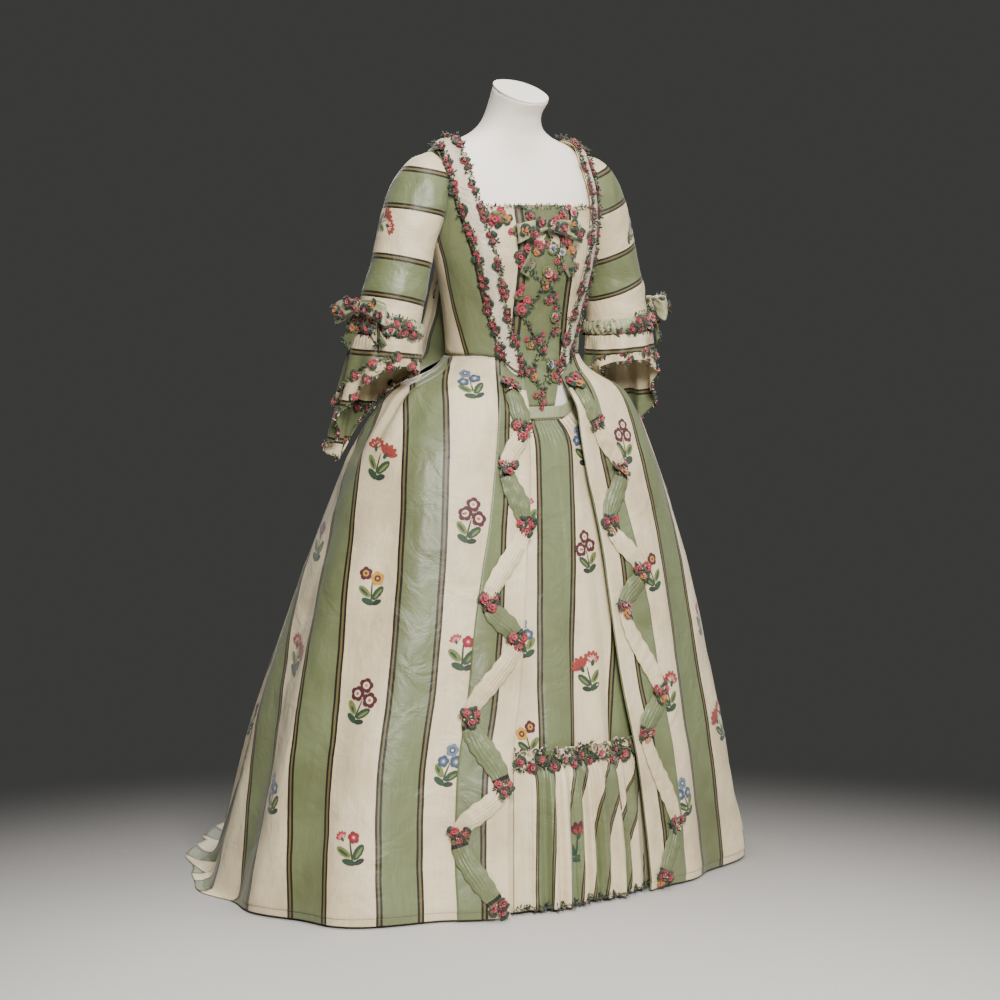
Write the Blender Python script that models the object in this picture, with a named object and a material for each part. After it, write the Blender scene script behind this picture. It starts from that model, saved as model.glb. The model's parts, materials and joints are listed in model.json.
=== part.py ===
"""Robe a la francaise on a limbless dress form.

Metres, +Z up. The figure faces -Y and its left side is +X. The origin is on the floor under the
middle of the stand. A turn is an angle in degrees about the upright axis, 0 at the front,
90 at the figure's side and 180 at the back; side is +1 for the figure's left, -1 for its right.
Each piece of cloth is a sheet of points with a wall added on its outer side.
"""

import math
from collections import namedtuple

import bmesh
import bpy
import numpy as np

# Driving sizes
CLOTH = 0.002
SEAM_GAP = 0.0004
RIGHT, LEFT = -1, 1
BACK = 180.0

# The dress form
FORM_BOTTOM = 0.74
NECK_TOP = 1.422
NECK_TILT = 0.42
NECK_SLANT_FROM = 1.375
CAP_THICKNESS = 0.006
POLE_RADIUS = 0.016
BASE_RADIUS = 0.17
BASE_HEIGHT = 0.022
FORM_COLUMNS = 20
OVAL_POWER = 2.17

# How far each layer of cloth lies off the form
BODICE_OUT = 0.0023
ROBING_OUT = 0.0058
SACK_OUT = 0.0026
WAISTBAND_OUT = 0.0022
SKIRT_TOP_OUT = 0.0036
STOMACHER_CLEAR = 0.0016

# Seam lines
SIDE_WAIST = 0.955
FRONT_WAIST = 0.921
STOMACHER_TOP = 1.222
STOMACHER_BOTTOM = 0.868
UNDERARM = 1.160
STRAP_BEND = 1.262
SEAM_TURN = 120.0
SACK_TOP = 1.325
SACK_TOP_TURN = 104.0
WAISTBAND_HEIGHT = 0.021
HEM_CLEARANCE = 0.004
FLOUNCE_TOP = 0.279
FLOUNCE_STITCH = 0.254

TorsoSection = namedtuple("TorsoSection", "height half_width front back")
TORSO = (
    TorsoSection(0.740, 0.150, -0.104, 0.124),
    TorsoSection(0.820, 0.156, -0.106, 0.128),
    TorsoSection(0.890, 0.142, -0.100, 0.111),
    TorsoSection(0.962, 0.122, -0.094, 0.088),
    TorsoSection(1.040, 0.130, -0.104, 0.090),
    TorsoSection(1.130, 0.148, -0.119, 0.098),
    TorsoSection(1.200, 0.160, -0.110, 0.103),
    TorsoSection(1.260, 0.167, -0.086, 0.103),
    TorsoSection(1.302, 0.163, -0.060, 0.090),
    TorsoSection(1.332, 0.128, -0.045, 0.077),
    TorsoSection(1.346, 0.086, -0.040, 0.065),
    TorsoSection(1.366, 0.058, -0.046, 0.053),
    TorsoSection(1.396, 0.048, -0.064, 0.038),
    TorsoSection(1.422, 0.047, -0.086, 0.022),
)

# Radii of the gown from the axis at the turns below; the front differs from side to side
GownSection = namedtuple(
    "GownSection", "height centre front_right front_left slant_right slant_left"
    " corner_right corner_left side hip quarter back"
)
GOWN_TURNS = (0.0, 30.0, 50.0, 72.0, 92.0, 120.0, 150.0, 180.0)
GOWN = (
    GownSection(0.000, 0.278, 0.330, 0.292, 0.380, 0.345, 0.500, 0.442, 0.530, 0.542, 0.578, 0.640),
    GownSection(0.240, 0.252, 0.292, 0.268, 0.332, 0.316, 0.437, 0.402, 0.472, 0.482, 0.512, 0.545),
    GownSection(0.475, 0.212, 0.236, 0.232, 0.286, 0.284, 0.362, 0.352, 0.408, 0.410, 0.416, 0.432),
    GownSection(0.630, 0.187, 0.203, 0.203, 0.253, 0.252, 0.316, 0.312, 0.357, 0.352, 0.346, 0.366),
    GownSection(0.800, 0.150, 0.164, 0.162, 0.205, 0.204, 0.257, 0.256, 0.289, 0.278, 0.270, 0.296),
    GownSection(0.894, 0.132, 0.138, 0.138, 0.163, 0.163, 0.200, 0.200, 0.222, 0.206, 0.222, 0.245),
    GownSection(0.955, 0.106, 0.108, 0.108, 0.112, 0.112, 0.120, 0.120, 0.125, 0.1145, 0.193, 0.216),
)

# Turn of each skirt's front edge
EdgeSection = namedtuple("EdgeSection", "height right left")
FRONT_EDGE = (
    EdgeSection(0.00, 32.2, 27.0),
    EdgeSection(0.10, 32.6, 27.5),
    EdgeSection(0.18, 33.0, 27.0),
    EdgeSection(0.27, 31.5, 25.0),
    EdgeSection(0.36, 29.0, 22.5),
    EdgeSection(0.45, 26.9, 21.5),
    EdgeSection(0.60, 24.1, 22.0),
    EdgeSection(0.75, 20.9, 20.5),
    EdgeSection(0.87, 19.5, 22.0),
    EdgeSection(0.93, 20.0, 24.0),
)

# Upright folds of the skirts: depth is at the hem, and is less towards the waist
Fold = namedtuple("Fold", "side turn depth width")
SKIRT_FOLDS = (
    Fold(RIGHT, 50.0, -0.006, 5.5),
    Fold(RIGHT, 64.0, 0.008, 6.0),
    Fold(RIGHT, 77.0, -0.010, 4.5),
    Fold(RIGHT, 88.0, 0.012, 4.5),
    Fold(RIGHT, 98.0, -0.014, 4.5),
    Fold(RIGHT, 108.0, 0.010, 4.5),
    Fold(LEFT, 46.0, 0.007, 5.0),
    Fold(LEFT, 58.0, -0.010, 5.0),
    Fold(LEFT, 71.0, 0.012, 5.0),
    Fold(LEFT, 83.0, -0.014, 4.5),
    Fold(LEFT, 95.0, 0.012, 5.0),
    Fold(LEFT, 107.0, -0.010, 4.5),
)
HIP_PLEATS = 5
HIP_PLEAT_DEPTH = 0.005

# How far the sack back stands off the form at its side seam, half way and centre
SackSection = namedtuple("SackSection", "height side half centre pleat")
SACK = (
    SackSection(0.955, 0.0, 0.096, 0.1254, 0.009),
    SackSection(1.040, 0.0, 0.062, 0.0920, 0.009),
    SackSection(1.130, 0.0, 0.032, 0.0560, 0.008),
    SackSection(1.260, 0.0, 0.011, 0.0190, 0.006),
    SackSection(1.325, 0.0, 0.007, 0.0100, 0.004),
)

# The box pleats across half the back: share is 0 at the centre back and 1 at the side seam,
# lift is in pleat depths above the waist, swell the same near the hem
Pleat = namedtuple("Pleat", "share lift swell")
PLEATS = (
    Pleat(0.000, -1.0, -1.0),
    Pleat(0.035, -1.0, -0.8),
    Pleat(0.065, 1.0, 0.8),
    Pleat(0.170, 1.1, 1.2),
    Pleat(0.270, 1.0, 0.6),
    Pleat(0.300, -1.0, -0.9),
    Pleat(0.360, -1.0, -0.9),
    Pleat(0.390, 1.0, 0.6),
    Pleat(0.480, 1.1, 1.2),
    Pleat(0.570, 1.0, 0.3),
    Pleat(0.600, -0.4, -0.9),
    Pleat(0.700, 0.0, 0.6),
    Pleat(0.800, 0.0, 1.0),
    Pleat(0.900, 0.0, -0.6),
    Pleat(1.000, 0.0, 0.0),
)

HEM_SWELL = 0.010

# How far the hem lies out along the floor
TrainSection = namedtuple("TrainSection", "turn reach")
TRAIN = (
    TrainSection(0.0, 0.0),
    TrainSection(86.0, 0.0),
    TrainSection(103.0, 0.022),
    TrainSection(124.0, 0.046),
    TrainSection(151.0, 0.085),
    TrainSection(180.0, 0.130),
)

# Petticoat: how far it lies inside the gown, and its own radii at the back
PetticoatSection = namedtuple("PetticoatSection", "height inset hip quarter back")
PETTICOAT = (
    PetticoatSection(0.000, 0.027, 0.520, 0.510, 0.505),
    PetticoatSection(0.240, 0.022, 0.465, 0.452, 0.445),
    PetticoatSection(0.475, 0.018, 0.390, 0.365, 0.355),
    PetticoatSection(0.630, 0.016, 0.330, 0.305, 0.295),
    PetticoatSection(0.800, 0.014, 0.255, 0.225, 0.210),
    PetticoatSection(0.894, 0.012, 0.180, 0.152, 0.143),
    PetticoatSection(0.955, 0.006, 0.105, 0.100, 0.095),
)

# Sleeve rings in the plane through the arm: inner is the underarm side, outer the upper side
SleeveRing = namedtuple("SleeveRing", "inner_x inner_z outer_x outer_z half_depth back")
SLEEVE = (
    SleeveRing(0.1680, 1.150, 0.195, 1.305, 0.059, 0.009),
    SleeveRing(0.1700, 1.136, 0.223, 1.276, 0.058, 0.010),
    SleeveRing(0.1715, 1.115, 0.248, 1.223, 0.055, 0.011),
    SleeveRing(0.1750, 1.085, 0.268, 1.150, 0.053, 0.012),
    SleeveRing(0.1820, 1.045, 0.286, 1.085, 0.055, 0.014),
    SleeveRing(0.1900, 1.005, 0.300, 1.025, 0.057, 0.017),
    SleeveRing(0.1930, 0.980, 0.304, 0.988, 0.058, 0.018),
)
ARMHOLE_CENTRE = (0.011, 1.236)
ARMHOLE_HALF = (0.050, 0.075)
ARMHOLE_OUT = 0.0071

# The serpentine trimming: distance of each bend from the skirt's front edge
Bend = namedtuple("Bend", "side height inset")
BENDS = (
    Bend(RIGHT, 0.905, 0.036),
    Bend(RIGHT, 0.830, 0.017),
    Bend(RIGHT, 0.767, 0.048),
    Bend(RIGHT, 0.664, 0.008),
    Bend(RIGHT, 0.537, 0.072),
    Bend(RIGHT, 0.469, 0.016),
    Bend(RIGHT, 0.346, 0.086),
    Bend(RIGHT, 0.223, 0.016),
    Bend(RIGHT, 0.146, 0.088),
    Bend(RIGHT, 0.022, 0.022),
    Bend(LEFT, 0.905, 0.022),
    Bend(LEFT, 0.834, 0.040),
    Bend(LEFT, 0.752, 0.080),
    Bend(LEFT, 0.657, 0.028),
    Bend(LEFT, 0.570, 0.085),
    Bend(LEFT, 0.505, 0.030),
    Bend(LEFT, 0.351, 0.088),
    Bend(LEFT, 0.280, 0.030),
    Bend(LEFT, 0.114, 0.076),
    Bend(LEFT, 0.022, 0.030),
)
RIBBON_WIDTH = 0.034
RIBBON_STEPS = 46
BAND_OUT = 0.0030
BAND_WALL = 0.0014
RIBBON_OUT = {RIGHT: 0.0060, LEFT: 0.0068}

Colour = namedtuple("Colour", "name rgb roughness metallic")
FORM_WHITE = Colour("painted form", (0.83, 0.82, 0.80), 0.55, 0.0)
STEEL = Colour("steel", (0.30, 0.30, 0.31), 0.35, 1.0)
CREAM_SILK = Colour("cream silk", (0.70, 0.62, 0.50), 0.42, 0.0)
GREEN_SATIN = Colour("green satin", (0.21, 0.30, 0.14), 0.34, 0.0)
PALE_GREEN = Colour("pale green silk", (0.36, 0.44, 0.25), 0.40, 0.0)


def clear_scene():
    for obj in list(bpy.data.objects):
        bpy.data.objects.remove(obj, do_unlink=True)


def material_of(colour):
    found = bpy.data.materials.get(colour.name)
    if found:
        return found
    made = bpy.data.materials.new(colour.name)
    made.use_nodes = True
    shader = made.node_tree.nodes["Principled BSDF"]
    shader.inputs["Base Color"].default_value = (*colour.rgb, 1.0)
    shader.inputs["Roughness"].default_value = colour.roughness
    shader.inputs["Metallic"].default_value = colour.metallic
    return made


def smooth_through(places, values):
    """A smooth curve through the values, flat at each high and low point, level past its ends."""
    places = np.asarray(places, float)
    values = np.asarray(values, float).reshape(len(places), -1)
    steps = np.diff(places)[:, None]
    slopes = np.diff(values, axis=0) / steps
    before, after = slopes[:-1], slopes[1:]
    same_way = before * after > 0
    total = np.where(same_way, before + after, 1.0)
    inner = np.where(same_way, 2 * before * after / total, 0.0)
    tangents = np.vstack([slopes[:1], inner, slopes[-1:]])

    def at(place):
        place = min(max(place, places[0]), places[-1])
        i = int(min(np.searchsorted(places, place, side="right") - 1, len(places) - 2))
        step = steps[i, 0]
        t = (place - places[i]) / step
        blend = t * t * (3 - 2 * t)
        value = values[i] * (1 - blend) + values[i + 1] * blend
        bend_in = t * (1 - t) ** 2 * step * tangents[i]
        bend_out = t * t * (t - 1) * step * tangents[i + 1]
        return value + bend_in + bend_out

    return at


def ease(start, end, place):
    """0 up to start, 1 from end on, and a smooth rise between them."""
    t = min(max((place - start) / (end - start), 0.0), 1.0)
    return t * t * (3 - 2 * t)


def columns_of(table, *names):
    return [[getattr(row, name) for name in names] for row in table]


def unit(vector):
    return vector / np.linalg.norm(vector)


torso_at = smooth_through(
    [row.height for row in TORSO], columns_of(TORSO, "half_width", "front", "back")
)
gown_at = {
    side: smooth_through([row.height for row in GOWN], columns_of(
        GOWN, "centre", "front_" + word, "slant_" + word, "corner_" + word,
        "side", "hip", "quarter", "back"))
    for side, word in ((RIGHT, "right"), (LEFT, "left"))
}
edge_at = smooth_through(
    [row.height for row in FRONT_EDGE], columns_of(FRONT_EDGE, "right", "left")
)
sack_at = smooth_through(
    [row.height for row in SACK], columns_of(SACK, "side", "half", "centre", "pleat")
)
train_at = smooth_through([row.turn for row in TRAIN], columns_of(TRAIN, "reach"))
petticoat_at = smooth_through(
    [row.height for row in PETTICOAT], columns_of(PETTICOAT, "inset", "hip", "quarter", "back")
)


def sheet_mesh(rows, closed, keep):
    """A mesh of quads through rows of points; keep says which cells are there."""
    mesh = bmesh.new()
    points = [[mesh.verts.new(point) for point in row] for row in rows]
    across = len(rows[0]) if closed else len(rows[0]) - 1
    for j in range(len(rows) - 1):
        for i in range(across):
            if keep and not keep(i, j):
                continue
            k = (i + 1) % len(rows[0])
            mesh.faces.new((points[j][i], points[j][k], points[j + 1][k], points[j + 1][i]))
    bmesh.ops.delete(mesh, geom=[v for v in mesh.verts if not v.link_faces], context="VERTS")
    return mesh


def new_object(name, mesh, colour):
    data = bpy.data.meshes.new(name)
    mesh.to_mesh(data)
    mesh.free()
    data.materials.append(material_of(colour))
    data.shade_smooth()
    data.set_sharp_from_angle(angle=math.radians(60))
    obj = bpy.data.objects.new(name, data)
    bpy.context.scene.collection.objects.link(obj)
    return obj


def cloth(name, rows, colour, wall=CLOTH, closed=False, keep=None, inward=False):
    """A sheet of cloth whose points are its inner side, with its wall outside them."""
    mesh = sheet_mesh(rows, closed, keep)
    middle = np.mean([np.mean(row, axis=0) for row in rows], axis=0) if closed else np.zeros(3)
    outward = 0.0
    for face in mesh.faces:
        centre = np.array(face.calc_center_median())
        face.normal_update()
        normal = np.array(face.normal)
        arm = centre - middle
        arm[2] = 0.0
        outward += float(normal @ arm) * face.calc_area()
    if (outward < 0) != inward:
        bmesh.ops.reverse_faces(mesh, faces=mesh.faces[:])
    obj = new_object(name, mesh, colour)
    solid = obj.modifiers.new("wall", "SOLIDIFY")
    solid.thickness = wall
    solid.offset = 1.0
    solid.use_even_offset = False
    solid.use_quality_normals = True
    return obj


def solid_of_rings(name, rings, colour):
    """A closed solid through stacked rings, lowest first, with a flat cap on each end."""
    mesh = bmesh.new()
    loops = [[mesh.verts.new(point) for point in ring] for ring in rings]
    for low, high in zip(loops, loops[1:]):
        for i in range(len(low)):
            k = (i + 1) % len(low)
            mesh.faces.new((low[i], low[k], high[k], high[i]))
    mesh.faces.new(loops[0][::-1])
    mesh.faces.new(loops[-1])
    bmesh.ops.recalc_face_normals(mesh, faces=mesh.faces[:])
    return new_object(name, mesh, colour)


def polar(side, turn, radius, height):
    angle = math.radians(turn)
    return np.array([side * radius * math.sin(angle), -radius * math.cos(angle), height])


def torso_point(side, turn, height, out=0.0):
    """The form's surface at a ring angle and height, moved out along its normal."""
    def surface(turn, height):
        half_width, front, back = torso_at(height)
        angle = math.radians(turn)
        along, away = math.sin(angle), math.cos(angle)
        share = 2 / OVAL_POWER
        x = half_width * math.copysign(abs(along) ** share, along)
        y = (front + back) / 2 - (back - front) / 2 * math.copysign(abs(away) ** share, away)
        return np.array([x, y, height])

    small = 0.002
    point = surface(turn, height)
    if out:
        across = surface(turn + 1.0, height) - surface(turn - 1.0, height)
        up = surface(turn, height + small) - surface(turn, height - small)
        point = point + out * unit(np.cross(across, up))
    return point * (side, 1, 1)


def torso_radius(turn, height):
    """Distance of the form's surface from the axis."""
    half_width, front, back = torso_at(height)
    middle, half_depth = (front + back) / 2, (back - front) / 2
    angle = math.radians(turn)
    low, high = 0.0, 0.4
    for _ in range(32):
        radius = (low + high) / 2
        x = abs(radius * math.sin(angle)) / half_width
        y = abs(-radius * math.cos(angle) - middle) / half_depth
        if x**OVAL_POWER + y**OVAL_POWER < 1:
            low = radius
        else:
            high = radius
    return low


def turn_of_x(x, height):
    """Ring angle, on the front half, where the form's surface is x from the middle."""
    share = min(x / torso_at(height)[0], 1.0)
    return math.degrees(math.asin(share ** (OVAL_POWER / 2)))


def height_of_x(x, turn):
    """Height on the shoulder slope where the surface at this ring angle is x from the middle."""
    low, high = STRAP_BEND - 0.03, 1.345
    reach = math.sin(math.radians(turn)) ** (2 / OVAL_POWER)
    for _ in range(30):
        height = (low + high) / 2
        if torso_at(height)[0] * reach > x:
            low = height
        else:
            high = height
    return low


def gown_radius(side, turn, height):
    return float(smooth_through(GOWN_TURNS, gown_at[side](height))(turn)[0])


def front_edge(side, height):
    return float(edge_at(height)[0 if side == RIGHT else 1])


def seam_turn(radius, height):
    """Where the skirt and bodice stop short of the back's side seam."""
    gap = 0.0007 + 0.0021 * ease(0.86, 0.94, height)
    return SEAM_TURN - math.degrees(gap / radius)


def gown_waist(turn):
    """Height of the waist seam, lower towards the front."""
    return FRONT_WAIST + (SIDE_WAIST - FRONT_WAIST) * ease(22.0, 50.0, turn)


def skirt_fold(side, turn, height):
    """Outward push of the upright folds, which grow towards the hem, and of the hip pleats."""
    grown = 1 - ease(0.05, 0.80, height)
    push = 0.0
    for fold in SKIRT_FOLDS:
        if fold.side == side:
            push += grown * fold.depth * math.exp(-(((turn - fold.turn) / fold.width) ** 2))
    pleated = ease(70, 80, turn) * (1 - ease(114, 119, turn))
    gathered = ease(0.70, 0.88, height) * (1 - ease(0.925, 0.95, height))
    wave = math.sin(math.radians((turn - 70) / 50 * 360 * HIP_PLEATS))
    return push + HIP_PLEAT_DEPTH * pleated * gathered * wave


def floor_row(side, turn, radius, step):
    """The last points of a hem: hanging where there is no train, on the floor where there is."""
    reach = float(train_at(turn)[0])
    lying = ease(86, 102, turn)
    hanging = (0.030, 0.016, HEM_CLEARANCE)[step]
    on_floor = (0.018, 0.0, 0.0)[step]
    out = (0.002 * lying, 0.45 * reach + 0.006 * lying, reach + 0.006 * lying)[step]
    return polar(side, turn, radius + out, hanging * (1 - lying) + on_floor * lying)


def skirt_rows(side):
    """The inner side of a gown skirt, from its waist seam to its hem."""
    steps = (0.0, 0.028, 0.065, 0.12, 0.20, 0.32, 0.46, 0.61, 0.76, 0.90)
    columns = 25
    top_edge = front_edge(side, FRONT_WAIST)
    rows = []
    for step in steps:
        row = []
        for i in range(columns + 1):
            share = i / columns
            waist = gown_waist(top_edge + (SEAM_TURN - top_edge) * share)
            height = waist * (1 - step) + 0.03 * step
            first = front_edge(side, height)
            last = seam_turn(gown_radius(side, SEAM_TURN, height), height)
            turn = first + (last - first) * share
            stand = SKIRT_TOP_OUT + STOMACHER_CLEAR * (1 - ease(26.0, 36.0, turn))
            top = torso_radius(turn, waist) + stand
            radius = gown_radius(side, turn, height) + skirt_fold(side, turn, height)
            radius += (top - radius) * (1 - ease(0.0, 0.05, step))
            row.append(polar(side, turn, radius, height))
        rows.append(row)
    first = front_edge(side, 0.02)
    last = seam_turn(gown_radius(side, SEAM_TURN, 0.0), 0.0)
    for step in range(3):
        row = []
        for i in range(columns + 1):
            turn = first + (last - first) * i / columns
            radius = gown_radius(side, turn, 0.0) + skirt_fold(side, turn, 0.0)
            row.append(floor_row(side, turn, radius, step))
        rows.append(row)
    return rows


def along_row(row, inset):
    """The point this far along a row of points, straight on past its ends."""
    row = np.asarray(row)
    lengths = np.linalg.norm(np.diff(row, axis=0), axis=1)
    ends = np.concatenate([[0.0], np.cumsum(lengths)])
    i = int(min(max(np.searchsorted(ends, inset) - 1, 0), len(lengths) - 1))
    return row[i] + (row[i + 1] - row[i]) * (inset - ends[i]) / lengths[i]


def on_skirt(rows, inset, height, out):
    """A point on a skirt at a distance from its front edge, moved out from the wall's inner side."""
    line = np.array([along_row(row, inset) for row in rows])
    j = int(np.argmax(line[1:, 2] <= height)) if (line[1:, 2] <= height).any() else len(line) - 2
    share = (line[j, 2] - height) / (line[j, 2] - line[j + 1, 2])
    point = line[j] + (line[j + 1] - line[j]) * share
    beside = along_row(rows[j], inset + 0.01) - along_row(rows[j], inset - 0.01)
    normal = unit(np.cross(beside, line[j + 1] - line[j]))
    if normal @ (point * (1, 1, 0)) < 0:
        normal = -normal
    return point + out * normal


def dress_form():
    heights = (
        0.740, 0.785, 0.830, 0.870, 0.905, 0.935, 0.962, 1.000, 1.040, 1.085, 1.130, 1.170,
        1.205, 1.237, 1.262, 1.284, 1.304, 1.320, 1.333, 1.345, 1.360, 1.380, 1.402, NECK_TOP,
    )

    def ring(height, out=0.0, lift=0.0, shrink=1.0):
        points = []
        tilt = NECK_TILT * ease(NECK_SLANT_FROM, NECK_TOP, height)
        _, front, back = torso_at(height)
        middle = np.array([0.0, (front + back) / 2, height])
        for i in range(FORM_COLUMNS):
            point = torso_point(LEFT, 360 * i / FORM_COLUMNS, height, out)
            point = middle + (point - middle) * shrink
            point[2] = height + tilt * (point[1] - middle[1]) + lift
            points.append(point)
        return points

    solid_of_rings("form_torso", [ring(height) for height in heights], FORM_WHITE)
    cap = [
        ring(NECK_TOP, lift=SEAM_GAP, shrink=0.97),
        ring(NECK_TOP, lift=SEAM_GAP + 0.001, shrink=1.0),
        ring(NECK_TOP, lift=CAP_THICKNESS - 0.001, shrink=1.0),
        ring(NECK_TOP, lift=CAP_THICKNESS, shrink=0.94),
    ]
    solid_of_rings("neck_cap", cap, FORM_WHITE)


def turned(name, profile, sides, colour):
    """A round solid from radius and height pairs, lowest first."""
    rings = [
        [polar(LEFT, 360 * i / sides, radius, height) for i in range(sides)]
        for radius, height in profile
    ]
    solid_of_rings(name, rings, colour)


def stand():
    turned("stand_base", (
        (BASE_RADIUS, 0.0), (BASE_RADIUS, BASE_HEIGHT - 0.008),
        (BASE_RADIUS - 0.006, BASE_HEIGHT - 0.002), (0.040, BASE_HEIGHT),
        (0.032, BASE_HEIGHT + 0.020), (POLE_RADIUS + 0.006, BASE_HEIGHT + 0.034),
    ), 20, STEEL)
    turned("stand_pole", (
        (POLE_RADIUS, BASE_HEIGHT + 0.034 + SEAM_GAP), (POLE_RADIUS, FORM_BOTTOM - SEAM_GAP),
    ), 12, STEEL)


StomacherRow = namedtuple("StomacherRow", "height half_width")
STOMACHER = (
    StomacherRow(0.868, 0.027),
    StomacherRow(0.924, 0.040),
    StomacherRow(0.960, 0.047),
    StomacherRow(1.040, 0.071),
    StomacherRow(1.130, 0.094),
    StomacherRow(1.171, 0.104),
    StomacherRow(1.222, 0.117),
)
stomacher_at = smooth_through(
    [row.height for row in STOMACHER], columns_of(STOMACHER, "half_width")
)
STOMACHER_BUTT = 0.0016
WAIST_SEAM_GAP = 0.0046
STRAP_END_TURN = 101.0
SHOULDER_EASE = 0.0018
STRAP_OUTER = smooth_through(
    (0.924, 0.960, 1.040, 1.130, 1.160, 1.205, 1.240, 1.262),
    (0.070, 0.080, 0.106, 0.134, 0.143, 0.152, 0.156, 0.1535),
)


def stomacher():
    heights = (STOMACHER_BOTTOM, 0.905, 0.940, 0.975, 1.015, 1.060, 1.105, 1.145, 1.185,
               STOMACHER_TOP)
    across = 8
    rows = []
    for height in heights:
        row = []
        for i in range(across + 1):
            x = float(stomacher_at(height)[0]) * (2 * i / across - 1)
            turn = turn_of_x(abs(x), height)
            row.append(torso_point(math.copysign(1, x), turn, height, BODICE_OUT))
        rows.append(row)
    cloth("stomacher", rows, CREAM_SILK)


def strap_inner(height):
    if height < STOMACHER_TOP:
        return float(stomacher_at(height)[0]) + STOMACHER_BUTT
    return 0.1185


def polar_turn(point):
    return math.degrees(math.atan2(abs(point[0]), -point[1]))


def strap_point(side, share, step, out):
    """A point of the bodice's shoulder strap: step runs from the armhole over to the back."""
    if step <= 0.5:
        height = UNDERARM + (STRAP_BEND - UNDERARM) * step / 0.5
        inner, outer = strap_inner(height), float(STRAP_OUTER(height)[0])
        x = inner + (outer - inner) * share
        return torso_point(side, turn_of_x(x, height), height, out)
    inner, outer = strap_inner(STRAP_BEND), float(STRAP_OUTER(STRAP_BEND)[0])
    x = inner + (outer - inner) * share
    start = turn_of_x(x, STRAP_BEND)
    over = (step - 0.5) / 0.5
    turn = start + (STRAP_END_TURN - start) * over
    return torso_point(side, turn, height_of_x(x, turn), out + SHOULDER_EASE * ease(0, 0.3, over))


def bodice_front(side, name):
    """One front from the stomacher to the side seam, with its strap over the shoulder."""
    strap_columns, side_columns = 3, 6
    low_heights = (0.0, 0.2, 0.42, 0.64, 0.83, 1.0)
    waist_outer = float(STRAP_OUTER(SIDE_WAIST)[0])
    waist_edge = polar_turn(torso_point(LEFT, turn_of_x(waist_outer, SIDE_WAIST), SIDE_WAIST))
    rows = []
    for share in low_heights:
        row = []
        for i in range(strap_columns + side_columns + 1):
            if i <= strap_columns:
                inner, outer = strap_inner(0.94), float(STRAP_OUTER(0.94)[0])
                x = inner + (outer - inner) * i / strap_columns
                waist_turn = polar_turn(torso_point(LEFT, turn_of_x(x, 0.94), 0.94))
            else:
                waist_turn = waist_edge + (SEAM_TURN - waist_edge) * (i - strap_columns) / side_columns
            low = gown_waist(waist_turn) + WAIST_SEAM_GAP
            height = low + (UNDERARM - low) * share
            inner, outer = strap_inner(height), float(STRAP_OUTER(height)[0])
            if i <= strap_columns:
                x = inner + (outer - inner) * i / strap_columns
                row.append(torso_point(side, turn_of_x(x, height), height, BODICE_OUT))
                continue
            first = polar_turn(torso_point(LEFT, turn_of_x(outer, height), height))
            last = seam_turn(torso_radius(SEAM_TURN, height), SIDE_WAIST)
            turn = first + (last - first) * (i - strap_columns) / side_columns
            row.append(polar(side, turn, torso_radius(turn, height) + BODICE_OUT + 0.0002, height))
        rows.append(row)
    for step in (0.17, 0.34, 0.5, 0.59, 0.68, 0.76, 0.84, 0.92, 1.0):
        row = [strap_point(side, i / strap_columns, step, BODICE_OUT)
               for i in range(strap_columns + 1)]
        rows.append(row + [row[-1]] * side_columns)
    low_rows = len(low_heights) - 1
    cloth(name, rows, CREAM_SILK, keep=lambda i, j: j < low_rows or i < strap_columns)


ROBING_WIDTH = 0.028
RobingRow = namedtuple("RobingRow", "height centre")
ROBING = (
    RobingRow(0.928, 0.050),
    RobingRow(0.960, 0.057),
    RobingRow(1.040, 0.081),
    RobingRow(1.130, 0.104),
    RobingRow(1.171, 0.114),
    RobingRow(1.222, 0.127),
    RobingRow(1.262, 0.1325),
)
robing_at = smooth_through([row.height for row in ROBING], columns_of(ROBING, "centre"))


def robing(side, name):
    """The flat band along the bodice front, from the waist over the shoulder."""
    rows = []
    for height in (0.93, 0.965, 1.005, 1.05, 1.095, 1.135, 1.175, 1.21, 1.24, STRAP_BEND):
        row = []
        for i in range(3):
            x = float(robing_at(height)[0]) + ROBING_WIDTH * (i / 2 - 0.5)
            seam = gown_waist(polar_turn(torso_point(LEFT, turn_of_x(x, height), height)))
            above = max(height, seam + 0.006)
            row.append(torso_point(side, turn_of_x(x, above), above, ROBING_OUT))
        rows.append(row)
    for step in (0.17, 0.33, 0.5, 0.66, 0.83, 1.0):
        row = []
        for i in range(3):
            x = float(robing_at(STRAP_BEND)[0]) + ROBING_WIDTH * (i / 2 - 0.5)
            start = turn_of_x(x, STRAP_BEND)
            turn = start + (STRAP_END_TURN - 1 - start) * step
            out = ROBING_OUT + SHOULDER_EASE * ease(0, 0.3, step)
            row.append(torso_point(side, turn, height_of_x(x, turn), out))
        rows.append(row)
    cloth(name, rows, CREAM_SILK, wall=0.0016)


def waistband_middle(turn):
    return 0.8565 + (0.930 - 0.8565) * ease(20.0, 80.0, turn)


def waistband():
    rows = []
    for edge in (0.5, -0.5):
        row = []
        for side, turn in petticoat_turns():
            height = waistband_middle(turn) + edge * WAISTBAND_HEIGHT
            row.append(polar(side, turn, torso_radius(turn, height) + WAISTBAND_OUT, height))
        rows.append(row)
    cloth("petticoat_waistband", rows, PALE_GREEN, closed=True)


PETTICOAT_FOLDS = (
    Fold(RIGHT, 22.0, -0.006, 4.0),
    Fold(RIGHT, 12.0, 0.004, 5.0),
    Fold(LEFT, 2.0, -0.003, 5.0),
    Fold(LEFT, 12.0, 0.006, 3.5),
    Fold(LEFT, 19.0, -0.009, 3.0),
    Fold(LEFT, 27.0, 0.006, 3.5),
)


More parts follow.
